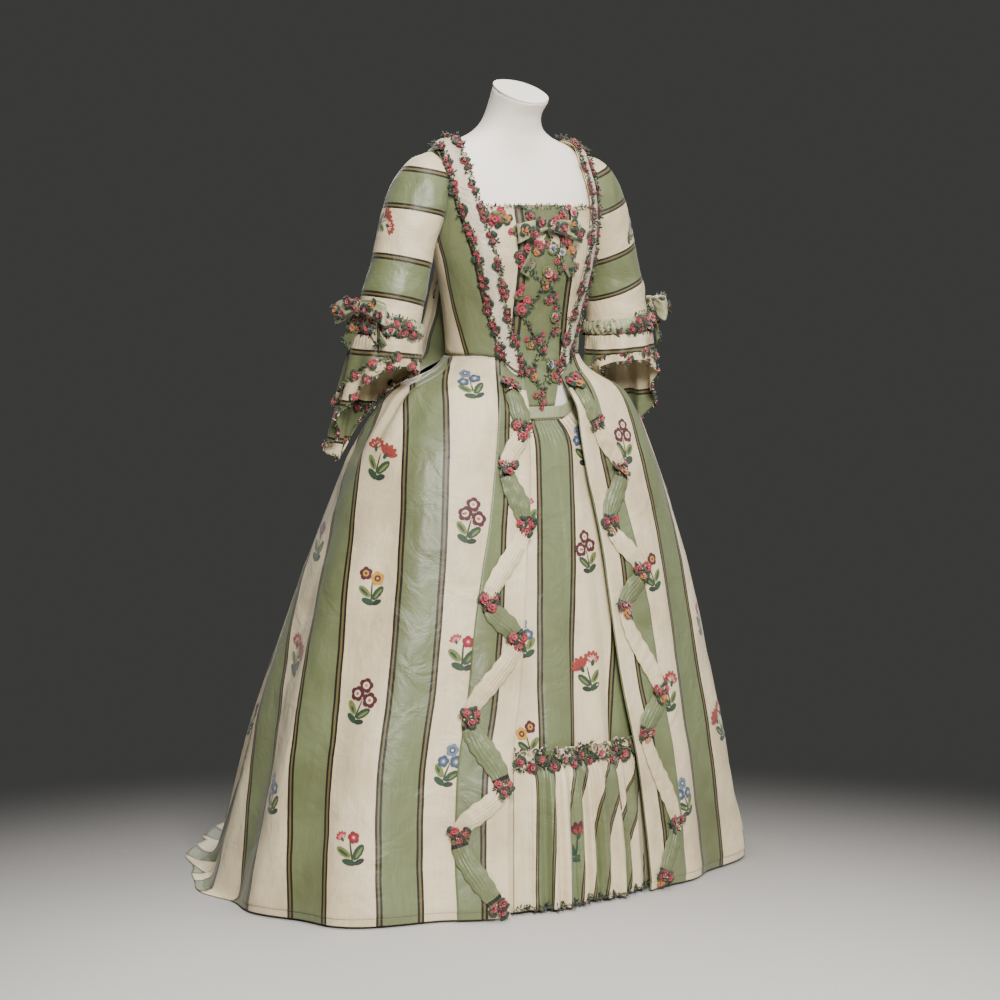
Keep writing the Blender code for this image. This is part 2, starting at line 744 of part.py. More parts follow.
def petticoat_radius(side, turn, height):
    inset, hip, quarter, back = petticoat_at(height)
    front = gown_radius(side, min(turn, 120.0), height) - inset
    own = float(smooth_through((90.0, 120.0, 150.0, 180.0), (front, hip, quarter, back))(turn)[0])
    radius = front + (own - front) * ease(90.0, 120.0, turn)
    grown = 1 - ease(0.10, 0.83, height)
    for fold in PETTICOAT_FOLDS:
        distance = turn - fold.turn if fold.side == side else turn + fold.turn
        radius += grown * fold.depth * math.exp(-((distance / fold.width) ** 2))
    return radius


def petticoat_turns():
    front = [4.0 * i for i in range(10)]
    rest = [36.0 + 12.0 * (i + 1) for i in range(12)]
    half = front + rest
    left = [(LEFT, turn) for turn in half]
    right = [(RIGHT, turn) for turn in half[1:-1]]
    return left + right[::-1]


def petticoat():
    steps = (0.0, 0.01, 0.05, 0.13, 0.28, 0.46, 0.66, 0.83, 1.0)
    rows = []
    for step in steps:
        row = []
        for side, turn in petticoat_turns():
            top = waistband_middle(turn) - WAISTBAND_HEIGHT / 2 - SEAM_GAP
            height = top + (HEM_CLEARANCE - top) * step
            seated = torso_radius(turn, height) + WAISTBAND_OUT + 0.0002
            radius = petticoat_radius(side, turn, height)
            radius += (seated - radius) * (1 - ease(0.01, 0.06, step))
            row.append(polar(side, turn, radius, height))
        rows.append(row)
    cloth("petticoat", rows, GREEN_SATIN, closed=True)


FLOUNCE_GATHERS = 10
FLOUNCE_SPAN = 31.0


def flounce():
    """The gathered frill across the petticoat's front, with its small heading above the stitches."""
    columns = FLOUNCE_GATHERS * 5
    FlounceRow = namedtuple("FlounceRow", "height out wave")
    table = (
        FlounceRow(FLOUNCE_TOP, 0.010, 0.0040),
        FlounceRow(FLOUNCE_STITCH, 0.0017, 0.0006),
        FlounceRow(0.215, 0.010, 0.0050),
        FlounceRow(0.115, 0.013, 0.0075),
        FlounceRow(HEM_CLEARANCE + 0.002, 0.014, 0.0085),
    )
    rows = []
    for line in table:
        row = []
        for i in range(columns + 1):
            around = -FLOUNCE_SPAN + 2 * FLOUNCE_SPAN * i / columns
            side, turn = (LEFT, around) if around >= 0 else (RIGHT, -around)
            taper = 1 - 0.8 * ease(20.0, 28.0, turn)
            phase = 2 * math.pi * FLOUNCE_GATHERS * i / columns
            wave = math.sin(phase + 0.5 * math.sin(phase * 0.37))
            out = 0.0004 + (line.out + line.wave * wave) * taper
            radius = petticoat_radius(side, turn, line.height) + CLOTH + out
            row.append(polar(side, turn, radius, line.height))
        rows.append(row)
    cloth("petticoat_flounce", rows, GREEN_SATIN)


def sack_radius(turn, share, height):
    """Inner side of the sack back without its pleats; share is 1 at the side seam."""
    low = gown_radius(LEFT, turn, height)
    if height <= SIDE_WAIST:
        return low
    side, half, centre, _ = sack_at(height)
    off = float(smooth_through((0.0, 0.5, 1.0), (centre, half, side))(share)[0])
    return torso_radius(turn, height) + SACK_OUT + SHOULDER_EASE * ease(1.24, 1.30, height) + off


def sack_back():
    """The back in one panel: box pleats from the neck, hanging clear and spreading into the train."""
    heights = (SACK_TOP, 1.308, 1.280, 1.235, 1.175, 1.105, 1.035, 0.985, 0.952, 0.925, 0.885,
               0.80, 0.66, 0.47, 0.27, 0.10)
    columns = [(RIGHT, pleat) for pleat in reversed(PLEATS)]
    columns += [(LEFT, pleat) for pleat in PLEATS[1:]]

    def turn_at(share, height):
        seam = SEAM_TURN + (SACK_TOP_TURN - SEAM_TURN) * ease(1.15, 1.31, height)
        return BACK - (BACK - seam) * share

    def lift(pleat, height):
        above = float(sack_at(max(height, SIDE_WAIST))[3])
        low = 1 - ease(0.15, 0.90, height)
        return above * (1 - low) * pleat.lift + HEM_SWELL * low * pleat.swell

    rows = []
    for height in heights:
        row = []
        for side, pleat in columns:
            turn = turn_at(pleat.share, height)
            radius = sack_radius(turn, pleat.share, height) + lift(pleat, height)
            row.append(polar(side, turn, radius, height))
        rows.append(row)
    for step in range(3):
        row = []
        for side, pleat in columns:
            turn = turn_at(pleat.share, 0.0)
            radius = sack_radius(turn, pleat.share, 0.0) + lift(pleat, 0.0)
            row.append(floor_row(side, turn, radius, step))
        rows.append(row)
    cloth("sack_back", rows, GREEN_SATIN)


def moved_off(rows, inset, j, out):
    """The point this far along row j of a panel, moved out along the panel's normal there."""
    point = along_row(rows[j], inset)
    beside = along_row(rows[j], inset + 0.01) - along_row(rows[j], inset - 0.01)
    above, below = max(j - 1, 0), min(j + 1, len(rows) - 1)
    down = unit(along_row(rows[below], inset) - point) if below > j else 0
    up = unit(point - along_row(rows[above], inset)) if above < j else 0
    normal = unit(np.cross(beside, down + up))
    return point + out * (-normal if normal @ (point * (1, 1, 0)) < 0 else normal)


def front_band(side, name, rows_of_skirt):
    """The band that carries the robing down the skirt's front edge."""
    width_at = smooth_through(
        (0.0, 0.10, 0.45, 0.58, 0.64, 0.87), (0.092, 0.094, 0.094, 0.086, 0.078, 0.060)
    )
    rows = []
    for j in range(1, len(rows_of_skirt)):
        width = float(width_at(rows_of_skirt[j][0][2])[0])
        rows.append([moved_off(rows_of_skirt, width * i / 5 + 0.0005, j, BAND_OUT)
                     for i in range(6)])
    cloth(name, rows, GREEN_SATIN, wall=BAND_WALL)


def serpentine(side, name, rows_of_skirt):
    """The ruched ribbon that winds down the skirt's front, puffed between its stitches."""
    bends = [bend for bend in BENDS if bend.side == side][::-1]
    inset_at = smooth_through([bend.height for bend in bends], [bend.inset for bend in bends])
    top, bottom = bends[-1].height, bends[0].height
    finer = 400
    heights = np.linspace(top, bottom, finer + 1)
    path = np.array([[float(inset_at(height)[0]), height] for height in heights])
    lengths = np.concatenate([[0.0], np.cumsum(np.linalg.norm(np.diff(path, axis=0), axis=1))])
    rows = []
    for k in range(RIBBON_STEPS + 1):
        at = lengths[-1] * k / RIBBON_STEPS
        middle = np.array([np.interp(at, lengths, path[:, axis]) for axis in (0, 1)])
        near = [np.interp(at + shift, lengths, path[:, axis])
                for shift in (-0.008, 0.008) for axis in (0, 1)]
        ahead = unit(np.array(near[2:]) - np.array(near[:2]))
        across = np.array([-ahead[1], ahead[0]])
        puff = 0.0022 if k % 2 else 0.0
        width = RIBBON_WIDTH * (1.0 if k % 2 else 0.88)
        row = []
        for share, lift in ((-0.5, 0.0), (0.0, 0.0026 + puff), (0.5, 0.0)):
            inset, height = middle + across * width * share
            row.append(on_skirt(rows_of_skirt, inset, max(height, 0.008), RIBBON_OUT[side] + lift))
        rows.append(row)
    cloth(name, rows, CREAM_SILK, wall=0.0012)


sleeve_at = smooth_through(range(len(SLEEVE)), columns_of(SLEEVE, *SleeveRing._fields))


def sleeve_point(side, place, around, out=0.0):
    """The sleeve's inner side: place counts rings from the shoulder, around is 90 at the outside."""
    inner_x, inner_z, outer_x, outer_z, half_depth, back = sleeve_at(place)
    middle = np.array([(inner_x + outer_x) / 2, back, (inner_z + outer_z) / 2])
    half = np.array([(outer_x - inner_x) / 2, 0.0, (outer_z - inner_z) / 2])
    angle = math.radians(around)
    spoke = half * math.sin(angle) + np.array([0.0, half_depth * math.cos(angle), 0.0])
    return (middle + spoke * (1 + out / np.linalg.norm(half))) * (side, 1, 1)


def armhole_point(side, around):
    """The sleeve's first ring, which follows the body round the armhole."""
    angle = math.radians(around)
    y = ARMHOLE_CENTRE[0] + ARMHOLE_HALF[0] * math.cos(angle)
    height = ARMHOLE_CENTRE[1] + ARMHOLE_HALF[1] * math.sin(angle)
    half_width, front, back = torso_at(height)
    away = ((front + back) / 2 - y) / ((back - front) / 2)
    turn = math.degrees(math.acos(math.copysign(min(abs(away), 1.0) ** (OVAL_POWER / 2), away)))
    return torso_point(side, turn, height, ARMHOLE_OUT)


SLEEVE_COLUMNS = 16


def sleeve(side, name):
    angles = [360 * i / SLEEVE_COLUMNS for i in range(SLEEVE_COLUMNS)]
    rows = [[armhole_point(side, angle) for angle in angles]]
    for place in (0, 1, 2, 3, 4, 5, 6):
        rows.append([sleeve_point(side, place, angle) for angle in angles])
    cloth(name, rows, GREEN_SATIN, wall=0.0016, closed=True)


CUFF_COLUMNS = 24


def cuff_band(side, name):
    """The ruched band round the end of the sleeve."""
    rows = []
    for place, out in ((4.80, 0.0038), (5.22, 0.0070), (5.64, 0.0038)):
        row = []
        for i in range(CUFF_COLUMNS):
            gather = 0.0016 * (1 if i % 2 else -1)
            row.append(sleeve_point(side, place, 360 * i / CUFF_COLUMNS, out + gather))
        rows.append(row)
    cloth(name, rows, PALE_GREEN, wall=0.0014, closed=True)


RuffleCut = namedtuple("RuffleCut", "start out shortest longest off_gown")
LOWER_RUFFLE = RuffleCut(5.90, 0.0023, 0.045, 0.220, 0.0110)
UPPER_RUFFLE = RuffleCut(5.76, 0.0048, 0.034, 0.138, 0.0065)
RUFFLE_WAVES = 9
RUFFLE_COLUMNS = 36
RUFFLE_LONG_SIDE = 20.0
RUFFLE_SPREAD = 1.2
RUFFLE_WAVE = 1.0
RUFFLE_DRIFT = (0.10, 0.10, 0.0)


def ruffle(side, name, cut, colour):
    """A sleeve frill, short at the inner elbow and long behind it, that rests just off the gown."""
    rows = []
    for share in (0.0, 0.3, 0.65, 1.0):
        row = []
        for i in range(RUFFLE_COLUMNS):
            around = 360 * i / RUFFLE_COLUMNS
            lean = 0.5 + 0.5 * math.cos(math.radians(around - RUFFLE_LONG_SIDE))
            drop = share * (cut.shortest + (cut.longest - cut.shortest) * lean**1.6)
            start = sleeve_point(1, cut.start, around, cut.out)
            middle = sleeve_point(1, cut.start, 90.0) / 2 + sleeve_point(1, cut.start, 270.0) / 2
            spoke = (start - middle) * (1, 1, 0)
            wave = math.sin(math.radians(around * RUFFLE_WAVES))
            spread = 1 + RUFFLE_SPREAD * drop + (RUFFLE_WAVE * drop + 0.02 * share) * wave
            shift = np.array(RUFFLE_DRIFT) * drop
            point = middle + spoke * spread + shift
            point[2] = start[2] - drop
            row.append(off_the_gown(point, cut.off_gown) * (side, 1, 1))
        rows.append(row)
    cloth(name, rows, colour, wall=0.0014, closed=True)


def off_the_gown(point, gap):
    """The same point, pushed straight out from the axis where it would be in the skirt."""
    turn = math.degrees(math.atan2(point[0], -point[1]))
    if point[2] > SIDE_WAIST or turn < 0:
        return point
    least = max(gown_radius(RIGHT, turn, point[2]), gown_radius(LEFT, turn, point[2]))
    least += HIP_PLEAT_DEPTH + CLOTH + gap
    distance = math.hypot(point[0], point[1])
    if distance >= least:
        return point
    return point * (least / distance, least / distance, 1)


Bow = namedtuple("Bow", "name centre facing reach height tail loops_out")


def bow(plan):
    """A tied bow: a flat ring of ribbon pinched in the middle, a knot on it and two tails."""
    centre = np.array(plan.centre)
    facing = unit(np.array(plan.facing))
    up = np.array([0.0, 0.0, 1.0])
    across = unit(np.cross(up, facing))
    up = np.cross(facing, across)
    steps = 20
    low_edge, high_edge = [], []
    for i in range(steps):
        angle = 2 * math.pi * i / steps
        reach = math.cos(angle)
        open_at = abs(reach) ** 0.8
        along = plan.reach * reach
        stand = 0.0075 + (0.004 + 0.011 * open_at) * math.sin(angle)
        droop = -0.22 * plan.height * abs(reach) ** 2
        half = plan.height * (0.22 + 0.30 * open_at)
        base = centre + across * along + facing * (stand + plan.loops_out)
        low_edge.append(base + up * (droop - half))
        high_edge.append(base + up * (droop + half))
    ring = cloth(plan.name + "_loops", [high_edge, low_edge], PALE_GREEN, wall=0.0012, closed=True)
    ring.modifiers["wall"].offset = 0.0

    rings = []
    knot_half = plan.height * 0.30
    for share, size in ((-1.0, 0.55), (-0.6, 0.95), (0.0, 1.0), (0.6, 0.95), (1.0, 0.55)):
        ring_points = []
        for i in range(8):
            angle = 2 * math.pi * i / 8
            ring_points.append(
                centre + up * (knot_half * share)
                + across * (0.0075 * size * math.cos(angle))
                + facing * (plan.loops_out + 0.0169 + 0.0045 * size * math.sin(angle))
            )
        rings.append(ring_points)
    solid_of_rings(plan.name + "_knot", rings, PALE_GREEN)

    left_edge, right_edge = [], []
    for share in (-1.0, -0.72, -0.42, -0.14, 0.14, 0.42, 0.72, 1.0):
        drop = plan.tail * abs(share) ** 1.1
        spread = plan.tail * 0.62 * share
        stand = 0.0035 + 0.010 * abs(share) * (1 - abs(share))
        base = centre + across * spread - up * (drop + plan.height * 0.10) + facing * stand
        width = unit(across + up * math.copysign(0.62, share)) * 0.011
        if abs(share) < 0.2:
            width = up * 0.009
        left_edge.append(base - width if share > 0 else base + width)
        right_edge.append(base + width if share > 0 else base - width)
    if plan.tail:
        lower = [min(pair, key=lambda p: p[2]) for pair in zip(left_edge, right_edge)]
        upper = [max(pair, key=lambda p: p[2]) for pair in zip(left_edge, right_edge)]
        cloth(plan.name + "_tails", [upper, lower], CREAM_SILK, wall=0.0012)


def bows():
    bow(Bow("stomacher_bow", (0.0, -0.1133, 1.185), (0.0, -1.0, 0.12), 0.066, 0.036, 0.082,
            0.0065))
    for side, word in ((RIGHT, "right"), (LEFT, "left")):
        inner_x, inner_z, outer_x, outer_z, half_depth, back = sleeve_at(4.9)
        turn = math.radians(20.0)
        middle = np.array([(inner_x + outer_x) / 2, back])
        out = np.array([math.cos(turn), -math.sin(turn)])
        spot = middle + out * ((outer_x - inner_x) / 2 + 0.0041)
        bow(Bow("sleeve_bow_" + word, (side * spot[0], spot[1], 1.048),
                (side * out[0], out[1], 0.05), 0.058, 0.040, 0.070, 0.0077))


def main():
    clear_scene()
    stand()
    dress_form()
    waistband()
    petticoat()
    flounce()
    stomacher()
    sack_back()
    for side, word in ((RIGHT, "right"), (LEFT, "left")):
        rows = skirt_rows(side)
        cloth("skirt_" + word, rows, GREEN_SATIN)
        front_band(side, "front_band_" + word, rows)
        serpentine(side, "serpentine_" + word, rows)
        bodice_front(side, "bodice_front_" + word)
        robing(side, "robing_" + word)
        sleeve(side, "sleeve_" + word)
        cuff_band(side, "cuff_band_" + word)
        ruffle(side, "ruffle_upper_" + word, UPPER_RUFFLE, GREEN_SATIN)
        ruffle(side, "ruffle_lower_" + word, LOWER_RUFFLE, CREAM_SILK)
    bows()


main()
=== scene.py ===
"""Looks of a robe a la francaise on its limbless dress form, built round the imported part.

Metres, +Z up. The figure faces -Y and its left side is +X. A turn is an angle in degrees about the
upright axis: 0 at the front, 90 at the figure's side, 180 at the back. Each piece of cloth is a
grid of points, as in the part, drawn finer here, with its stripes laid by length along the cloth.
"""

from __future__ import annotations

import json
import logging
import math
import random
from dataclasses import dataclass, field
from enum import Enum
from typing import Callable, Iterable, NamedTuple, Optional, Sequence

import bmesh
import bpy
import numpy as np
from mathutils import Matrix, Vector, noise

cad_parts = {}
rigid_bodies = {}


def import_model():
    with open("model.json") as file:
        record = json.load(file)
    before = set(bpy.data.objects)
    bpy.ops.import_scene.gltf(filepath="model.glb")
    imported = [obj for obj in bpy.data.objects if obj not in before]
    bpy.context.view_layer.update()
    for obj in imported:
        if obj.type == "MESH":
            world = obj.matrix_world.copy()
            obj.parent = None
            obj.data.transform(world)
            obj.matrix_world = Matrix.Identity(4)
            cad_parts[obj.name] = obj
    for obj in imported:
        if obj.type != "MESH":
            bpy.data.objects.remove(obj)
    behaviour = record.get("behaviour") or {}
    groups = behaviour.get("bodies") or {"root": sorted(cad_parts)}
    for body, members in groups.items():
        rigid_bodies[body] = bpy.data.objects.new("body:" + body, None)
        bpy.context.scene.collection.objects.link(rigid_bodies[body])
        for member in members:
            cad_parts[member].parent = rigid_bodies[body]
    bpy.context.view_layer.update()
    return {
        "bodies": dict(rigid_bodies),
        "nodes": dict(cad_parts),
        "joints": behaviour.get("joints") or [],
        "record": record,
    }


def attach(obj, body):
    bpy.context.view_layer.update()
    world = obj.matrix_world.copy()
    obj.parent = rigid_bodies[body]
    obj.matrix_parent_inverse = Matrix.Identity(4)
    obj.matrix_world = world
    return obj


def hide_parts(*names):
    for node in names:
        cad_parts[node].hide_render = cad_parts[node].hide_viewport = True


LOG = logging.getLogger("robe")
Point = np.ndarray

RIGHT, LEFT = -1, 1
SIDES = ((RIGHT, "right"), (LEFT, "left"))
BODY = "root"
STRIPE_REPEAT = 0.1625
BORDER, GREEN_STRIPE = 0.0110, 0.0585
CREAM_STRIPE = STRIPE_REPEAT - 2 * BORDER - GREEN_STRIPE
# Thickness of the flowers' ribbon, of a frill or a bow, and of a band or a robing
FLOWER_WALL, FRILL_WALL, BAND_WALL = 0.0004, 0.0007, 0.0008
# A random direction is drawn from this many radians
ANY_TURN = 6.28
# How much larger than their table the sprigs are woven, on the gown and on the petticoat
GOWN_SPRIG, PETTICOAT_SPRIG = 1.22, 1.15
# Height at which a leaning stripe crosses its upright place
LEAN_FROM = 0.8


# ---------------------------------------------------------------- curves and small helpers


def smooth_through(places: Sequence[float], values: Sequence) -> Callable[[float], np.ndarray]:
    """Makes a smooth curve that is flat at each high and low point and level past its ends.

    Args:
        places: Where the values hold, rising.
        values: One value, or one row of values, for each place.

    Returns:
        A function from a place to an array of values.
    """
    places = np.asarray(places, float)
    values = np.asarray(values, float).reshape(len(places), -1)
    steps = np.diff(places)[:, None]
    slopes = np.diff(values, axis=0) / steps
    before, after = slopes[:-1], slopes[1:]
    same_way = before * after > 0
    total = np.where(same_way, before + after, 1.0)
    inner = np.where(same_way, 2 * before * after / total, 0.0)
    tangents = np.vstack([slopes[:1], inner, slopes[-1:]])

    def at(place: float) -> np.ndarray:
        """Returns the values at one place."""
        place = min(max(place, places[0]), places[-1])
        i = int(min(np.searchsorted(places, place, side="right") - 1, len(places) - 2))
        step = steps[i, 0]
        t = (place - places[i]) / step
        blend = t * t * (3 - 2 * t)
        value = values[i] * (1 - blend) + values[i + 1] * blend
        return value + t * (1 - t) ** 2 * step * tangents[i] + t * t * (t - 1) * step * tangents[i + 1]

    return at


def ease(start: float, end: float, place: float) -> float:
    """Returns 0 up to start, 1 from end on, and a smooth rise between them."""
    t = min(max((place - start) / (end - start), 0.0), 1.0)
    return t * t * (3 - 2 * t)


def eased(start: float, end: float, places: np.ndarray) -> np.ndarray:
    """Returns ease for each of many places."""
    t = np.clip((places - start) / (end - start), 0.0, 1.0)
    return t * t * (3 - 2 * t)


def unit(vector: Point) -> Point:
    """Returns the vector at length 1."""
    return vector / max(float(np.linalg.norm(vector)), 1e-12)


def polar(side: int, turn: float, radius: float, height: float) -> Point:
    """Returns the point at a turn and radius from the upright axis."""
    angle = math.radians(turn)
    return np.array([side * radius * math.sin(angle), -radius * math.cos(angle), height])


def polar_turn(point: Point) -> float:
    """Returns the turn at which a point lies."""
    return math.degrees(math.atan2(abs(point[0]), -point[1]))


def columns_of(table: Sequence[NamedTuple], *names: str) -> list[list[float]]:
    """Returns the named columns of a table as rows of numbers."""
    return [[getattr(row, name) for name in names] for row in table]


def linear(code: str) -> tuple[float, float, float, float]:
    """Turns an sRGB hex colour such as '8f9f72' into linear red, green, blue and alpha."""
    parts = [int(code[i:i + 2], 16) / 255 for i in (0, 2, 4)]
    red, green, blue = (p / 12.92 if p <= 0.04045 else ((p + 0.055) / 1.055) ** 2.4 for p in parts)
    return red, green, blue, 1.0


# ---------------------------------------------------------------- finishes


def add_node(tree: bpy.types.NodeTree, kind: str, settings: Optional[dict] = None,
             links: Optional[dict] = None) -> bpy.types.Node:
    """Adds a shader node with its settings and links.

    Args:
        tree: The material's node tree.
        kind: The node's Blender type name.
        settings: Attribute names, or input names and numbers, with their values.
        links: Input names or numbers with the output sockets that feed them.

    Returns:
        The new node.
    """
    node = tree.nodes.new(kind)
    for key, value in (settings or {}).items():
        if isinstance(key, str) and hasattr(node, key):
            setattr(node, key, value)
        else:
            node.inputs[key].default_value = value
    for key, socket in (links or {}).items():
        tree.links.new(socket, node.inputs[key])
    return node


def new_material(name: str) -> tuple[bpy.types.Material, bpy.types.Node]:
    """Makes a material that holds only a Principled shader, and returns both."""
    made = bpy.data.materials.new(name)
    made.use_nodes = True
    return made, made.node_tree.nodes["Principled BSDF"]


def set_ramp(node: bpy.types.Node, stops: Sequence[tuple[float, tuple]], sharp: bool = False) -> None:
    """Fills a colour ramp.

    Args:
        node: The ColorRamp node.
        stops: Places from 0 to 1 with their linear colours.
        sharp: True for bands with no blend between them.
    """
    ramp = node.color_ramp
    ramp.interpolation = "CONSTANT" if sharp else "LINEAR"
    while len(ramp.elements) < len(stops):
        ramp.elements.new(1.0)
    for element, (place, colour) in zip(ramp.elements, stops):
        element.position = place
        element.color = colour


@dataclass(frozen=True)
class StripedSilk:
    """Silk woven in green satin and cream taffeta stripes with dark and olive borders.

    The satin stripes catch the light more than the cream ones, which are duller and age to tan.
    offset is how far into the repeat, in metres, the piece's zero line lies.
    """

    name: str
    offset: float = 0.0
    cream: str = "e0d0ab"
    green: str = "6f7852"
    dark: str = "1a120a"
    olive: str = "6c6238"
    stain: str = "a58f6a"
    line_share: float = 0.34
    edge_wander: float = 0.0022

    def make(self) -> bpy.types.Material:
        """Returns the material, which reads the cloth's own lengths from its UV map."""
        made, shader = new_material(self.name)
        tree = made.node_tree
        uv = add_node(tree, "ShaderNodeUVMap", {"uv_map": "cloth"})
        across = add_node(tree, "ShaderNodeSeparateXYZ", links={0: uv.outputs[0]})
        # The weaver's stripe edges wander by a millimetre to each side.
        wander = add_node(tree, "ShaderNodeTexNoise", {"Scale": 14.0, "Detail": 1.0},
                          {"Vector": uv.outputs[0]})
        drift = add_node(tree, "ShaderNodeMath", {"operation": "MULTIPLY_ADD", 1: self.edge_wander,
                                                  2: self.offset - self.edge_wander / 2},
                         {0: wander.outputs[0]})
        place = add_node(tree, "ShaderNodeMath", {"operation": "ADD"},
                         {0: across.outputs[0], 1: drift.outputs[0]})
        repeats = add_node(tree, "ShaderNodeMath", {"operation": "DIVIDE", 1: STRIPE_REPEAT},
                           {0: place.outputs[0]})
        share = add_node(tree, "ShaderNodeMath", {"operation": "FRACT"}, {0: repeats.outputs[0]})
        line = BORDER * self.line_share / STRIPE_REPEAT
        border = BORDER / STRIPE_REPEAT
        second = border + GREEN_STRIPE / STRIPE_REPEAT
        dark, olive = linear(self.dark), linear(self.olive)
        bands = add_node(tree, "ShaderNodeValToRGB", links={0: share.outputs[0]})
        set_ramp(bands, (
            (0.0, dark), (line, olive), (border - line, dark), (border, linear(self.green)),
            (second, dark), (second + line, olive), (second + border - line, dark),
            (second + border, linear(self.cream)),
        ), sharp=True)
        gloss = add_node(tree, "ShaderNodeValToRGB", links={0: share.outputs[0]})
        satin, taffeta = (0.42, 0.42, 0.42, 1.0), (0.50, 0.50, 0.50, 1.0)
        set_ramp(gloss, ((0.0, taffeta), (border, satin), (second, taffeta)), sharp=True)
        # Old silk is patchy: large soft stains, and streaks that run down the warp.
        where = add_node(tree, "ShaderNodeTexCoord")
        patches = add_node(tree, "ShaderNodeTexNoise", {"Scale": 4.5, "Detail": 5.0, "Roughness": 0.6},
                           {"Vector": where.outputs["Object"]})
        stained = add_node(tree, "ShaderNodeMapRange", {1: 0.47, 2: 0.76, 3: 0.0, 4: 0.55},
                           {0: patches.outputs[0]})
        aged = add_node(tree, "ShaderNodeMixRGB", {"blend_type": "MULTIPLY", 2: linear(self.stain)},
                        {0: stained.outputs[0], 1: bands.outputs[0]})
        stretch = add_node(tree, "ShaderNodeMapping", {"Scale": (420.0, 16.0, 1.0)},
                           {"Vector": uv.outputs[0]})
        streaks = add_node(tree, "ShaderNodeTexNoise", {"Scale": 1.0, "Detail": 3.0},
                           {"Vector": stretch.outputs[0]})
        streak_light = add_node(tree, "ShaderNodeMapRange", {1: 0.25, 2: 0.75, 3: 0.90, 4: 1.07},
                                {0: streaks.outputs[0]})
        woven = add_node(tree, "ShaderNodeVectorMath", {"operation": "MULTIPLY"},
                         {0: aged.outputs[0], 1: streak_light.outputs[0]})
        # The weft ribs are 0.4 mm apart in the cloth, drawn at 1.2 mm so that they show at all.
        ribs = add_node(tree, "ShaderNodeMapping", {"Scale": (160.0, 800.0, 1.0)},
                        {"Vector": uv.outputs[0]})
        weft = add_node(tree, "ShaderNodeTexNoise", {"Scale": 1.0, "Detail": 2.0},
                        {"Vector": ribs.outputs[0]})
        creases = add_node(tree, "ShaderNodeTexNoise", {"Scale": 15.0, "Detail": 4.0, "Distortion": 1.0},
                           {"Vector": where.outputs["Object"]})
        soft = add_node(tree, "ShaderNodeBump", {"Strength": 0.75, "Distance": 0.007},
                        {"Height": creases.outputs[0]})
        bump = add_node(tree, "ShaderNodeBump", {"Strength": 0.35, "Distance": 0.0008},
                        {"Height": weft.outputs[0], "Normal": soft.outputs[0]})
        tree.links.new(woven.outputs[0], shader.inputs["Base Color"])
        tree.links.new(gloss.outputs[0], shader.inputs["Roughness"])
        tree.links.new(bump.outputs[0], shader.inputs["Normal"])
        shader.inputs["Sheen Weight"].default_value = 0.12
        shader.inputs["Specular IOR Level"].default_value = 0.55
        return made


@dataclass(frozen=True)
class PlainSilk:
    """Plain silk ribbon or taffeta of one colour, with streaks along the weave and a soft gloss."""

    name: str
    colour: str
    roughness: float = 0.45

    def make(self) -> bpy.types.Material:
        """Returns the material."""
        made, shader = new_material(self.name)
        tree = made.node_tree
        uv = add_node(tree, "ShaderNodeUVMap", {"uv_map": "cloth"})
        stretch = add_node(tree, "ShaderNodeMapping", {"Scale": (260.0, 24.0, 1.0)},
                           {"Vector": uv.outputs[0]})
        streaks = add_node(tree, "ShaderNodeTexNoise", {"Scale": 1.0, "Detail": 4.0},
                           {"Vector": stretch.outputs[0]})
        tone = add_node(tree, "ShaderNodeValToRGB", links={0: streaks.outputs[0]})
        base = np.array(linear(self.colour))
        set_ramp(tone, ((0.25, tuple(base * (0.72, 0.70, 0.66, 1))), (0.7, tuple(base))))
        bump = add_node(tree, "ShaderNodeBump", {"Strength": 0.35, "Distance": 0.0012},
                        {"Height": streaks.outputs[0]})
        tree.links.new(tone.outputs[0], shader.inputs["Base Color"])
        tree.links.new(bump.outputs[0], shader.inputs["Normal"])
        shader.inputs["Roughness"].default_value = self.roughness
        shader.inputs["Sheen Weight"].default_value = 0.15
        return made


@dataclass(frozen=True)
class DyedFloss:
    """Silk floss and narrow ribbon in many dyes: matt, with painted shade between the threads of its nap
    and painted light on their tops.
    """

    name: str = "dyed silk floss"

    def make(self) -> bpy.types.Material:
        """Returns the material, which reads each tuft's or petal's own dye from the mesh."""
        made, shader = new_material(self.name)
        tree = made.node_tree
        dye = add_node(tree, "ShaderNodeVertexColor", {"layer_name": "dye"})
        where = add_node(tree, "ShaderNodeTexCoord")
        nap = add_node(tree, "ShaderNodeTexNoise", {"Scale": 900.0, "Detail": 2.0},
                       {"Vector": where.outputs["Object"]})
        # Painted shade and light: the floss darkens where the nap's bump sinks between threads and grows
        # lighter on their tops.
        shade = add_node(tree, "ShaderNodeMapRange", {1: 0.3, 2: 0.7, 3: 0.72, 4: 1.12},
                         {0: nap.outputs[0]})
        nap_shaded = add_node(tree, "ShaderNodeVectorMath", {"operation": "MULTIPLY"},
                        {0: dye.outputs[0], 1: shade.outputs[0]})
        bump = add_node(tree, "ShaderNodeBump", {"Strength": 0.4, "Distance": 0.0008},
                        {"Height": nap.outputs[0]})
        tree.links.new(nap_shaded.outputs[0], shader.inputs["Base Color"])
        tree.links.new(bump.outputs[0], shader.inputs["Normal"])
        shader.inputs["Roughness"].default_value = 0.62
        shader.inputs["Sheen Weight"].default_value = 0.20
        return made


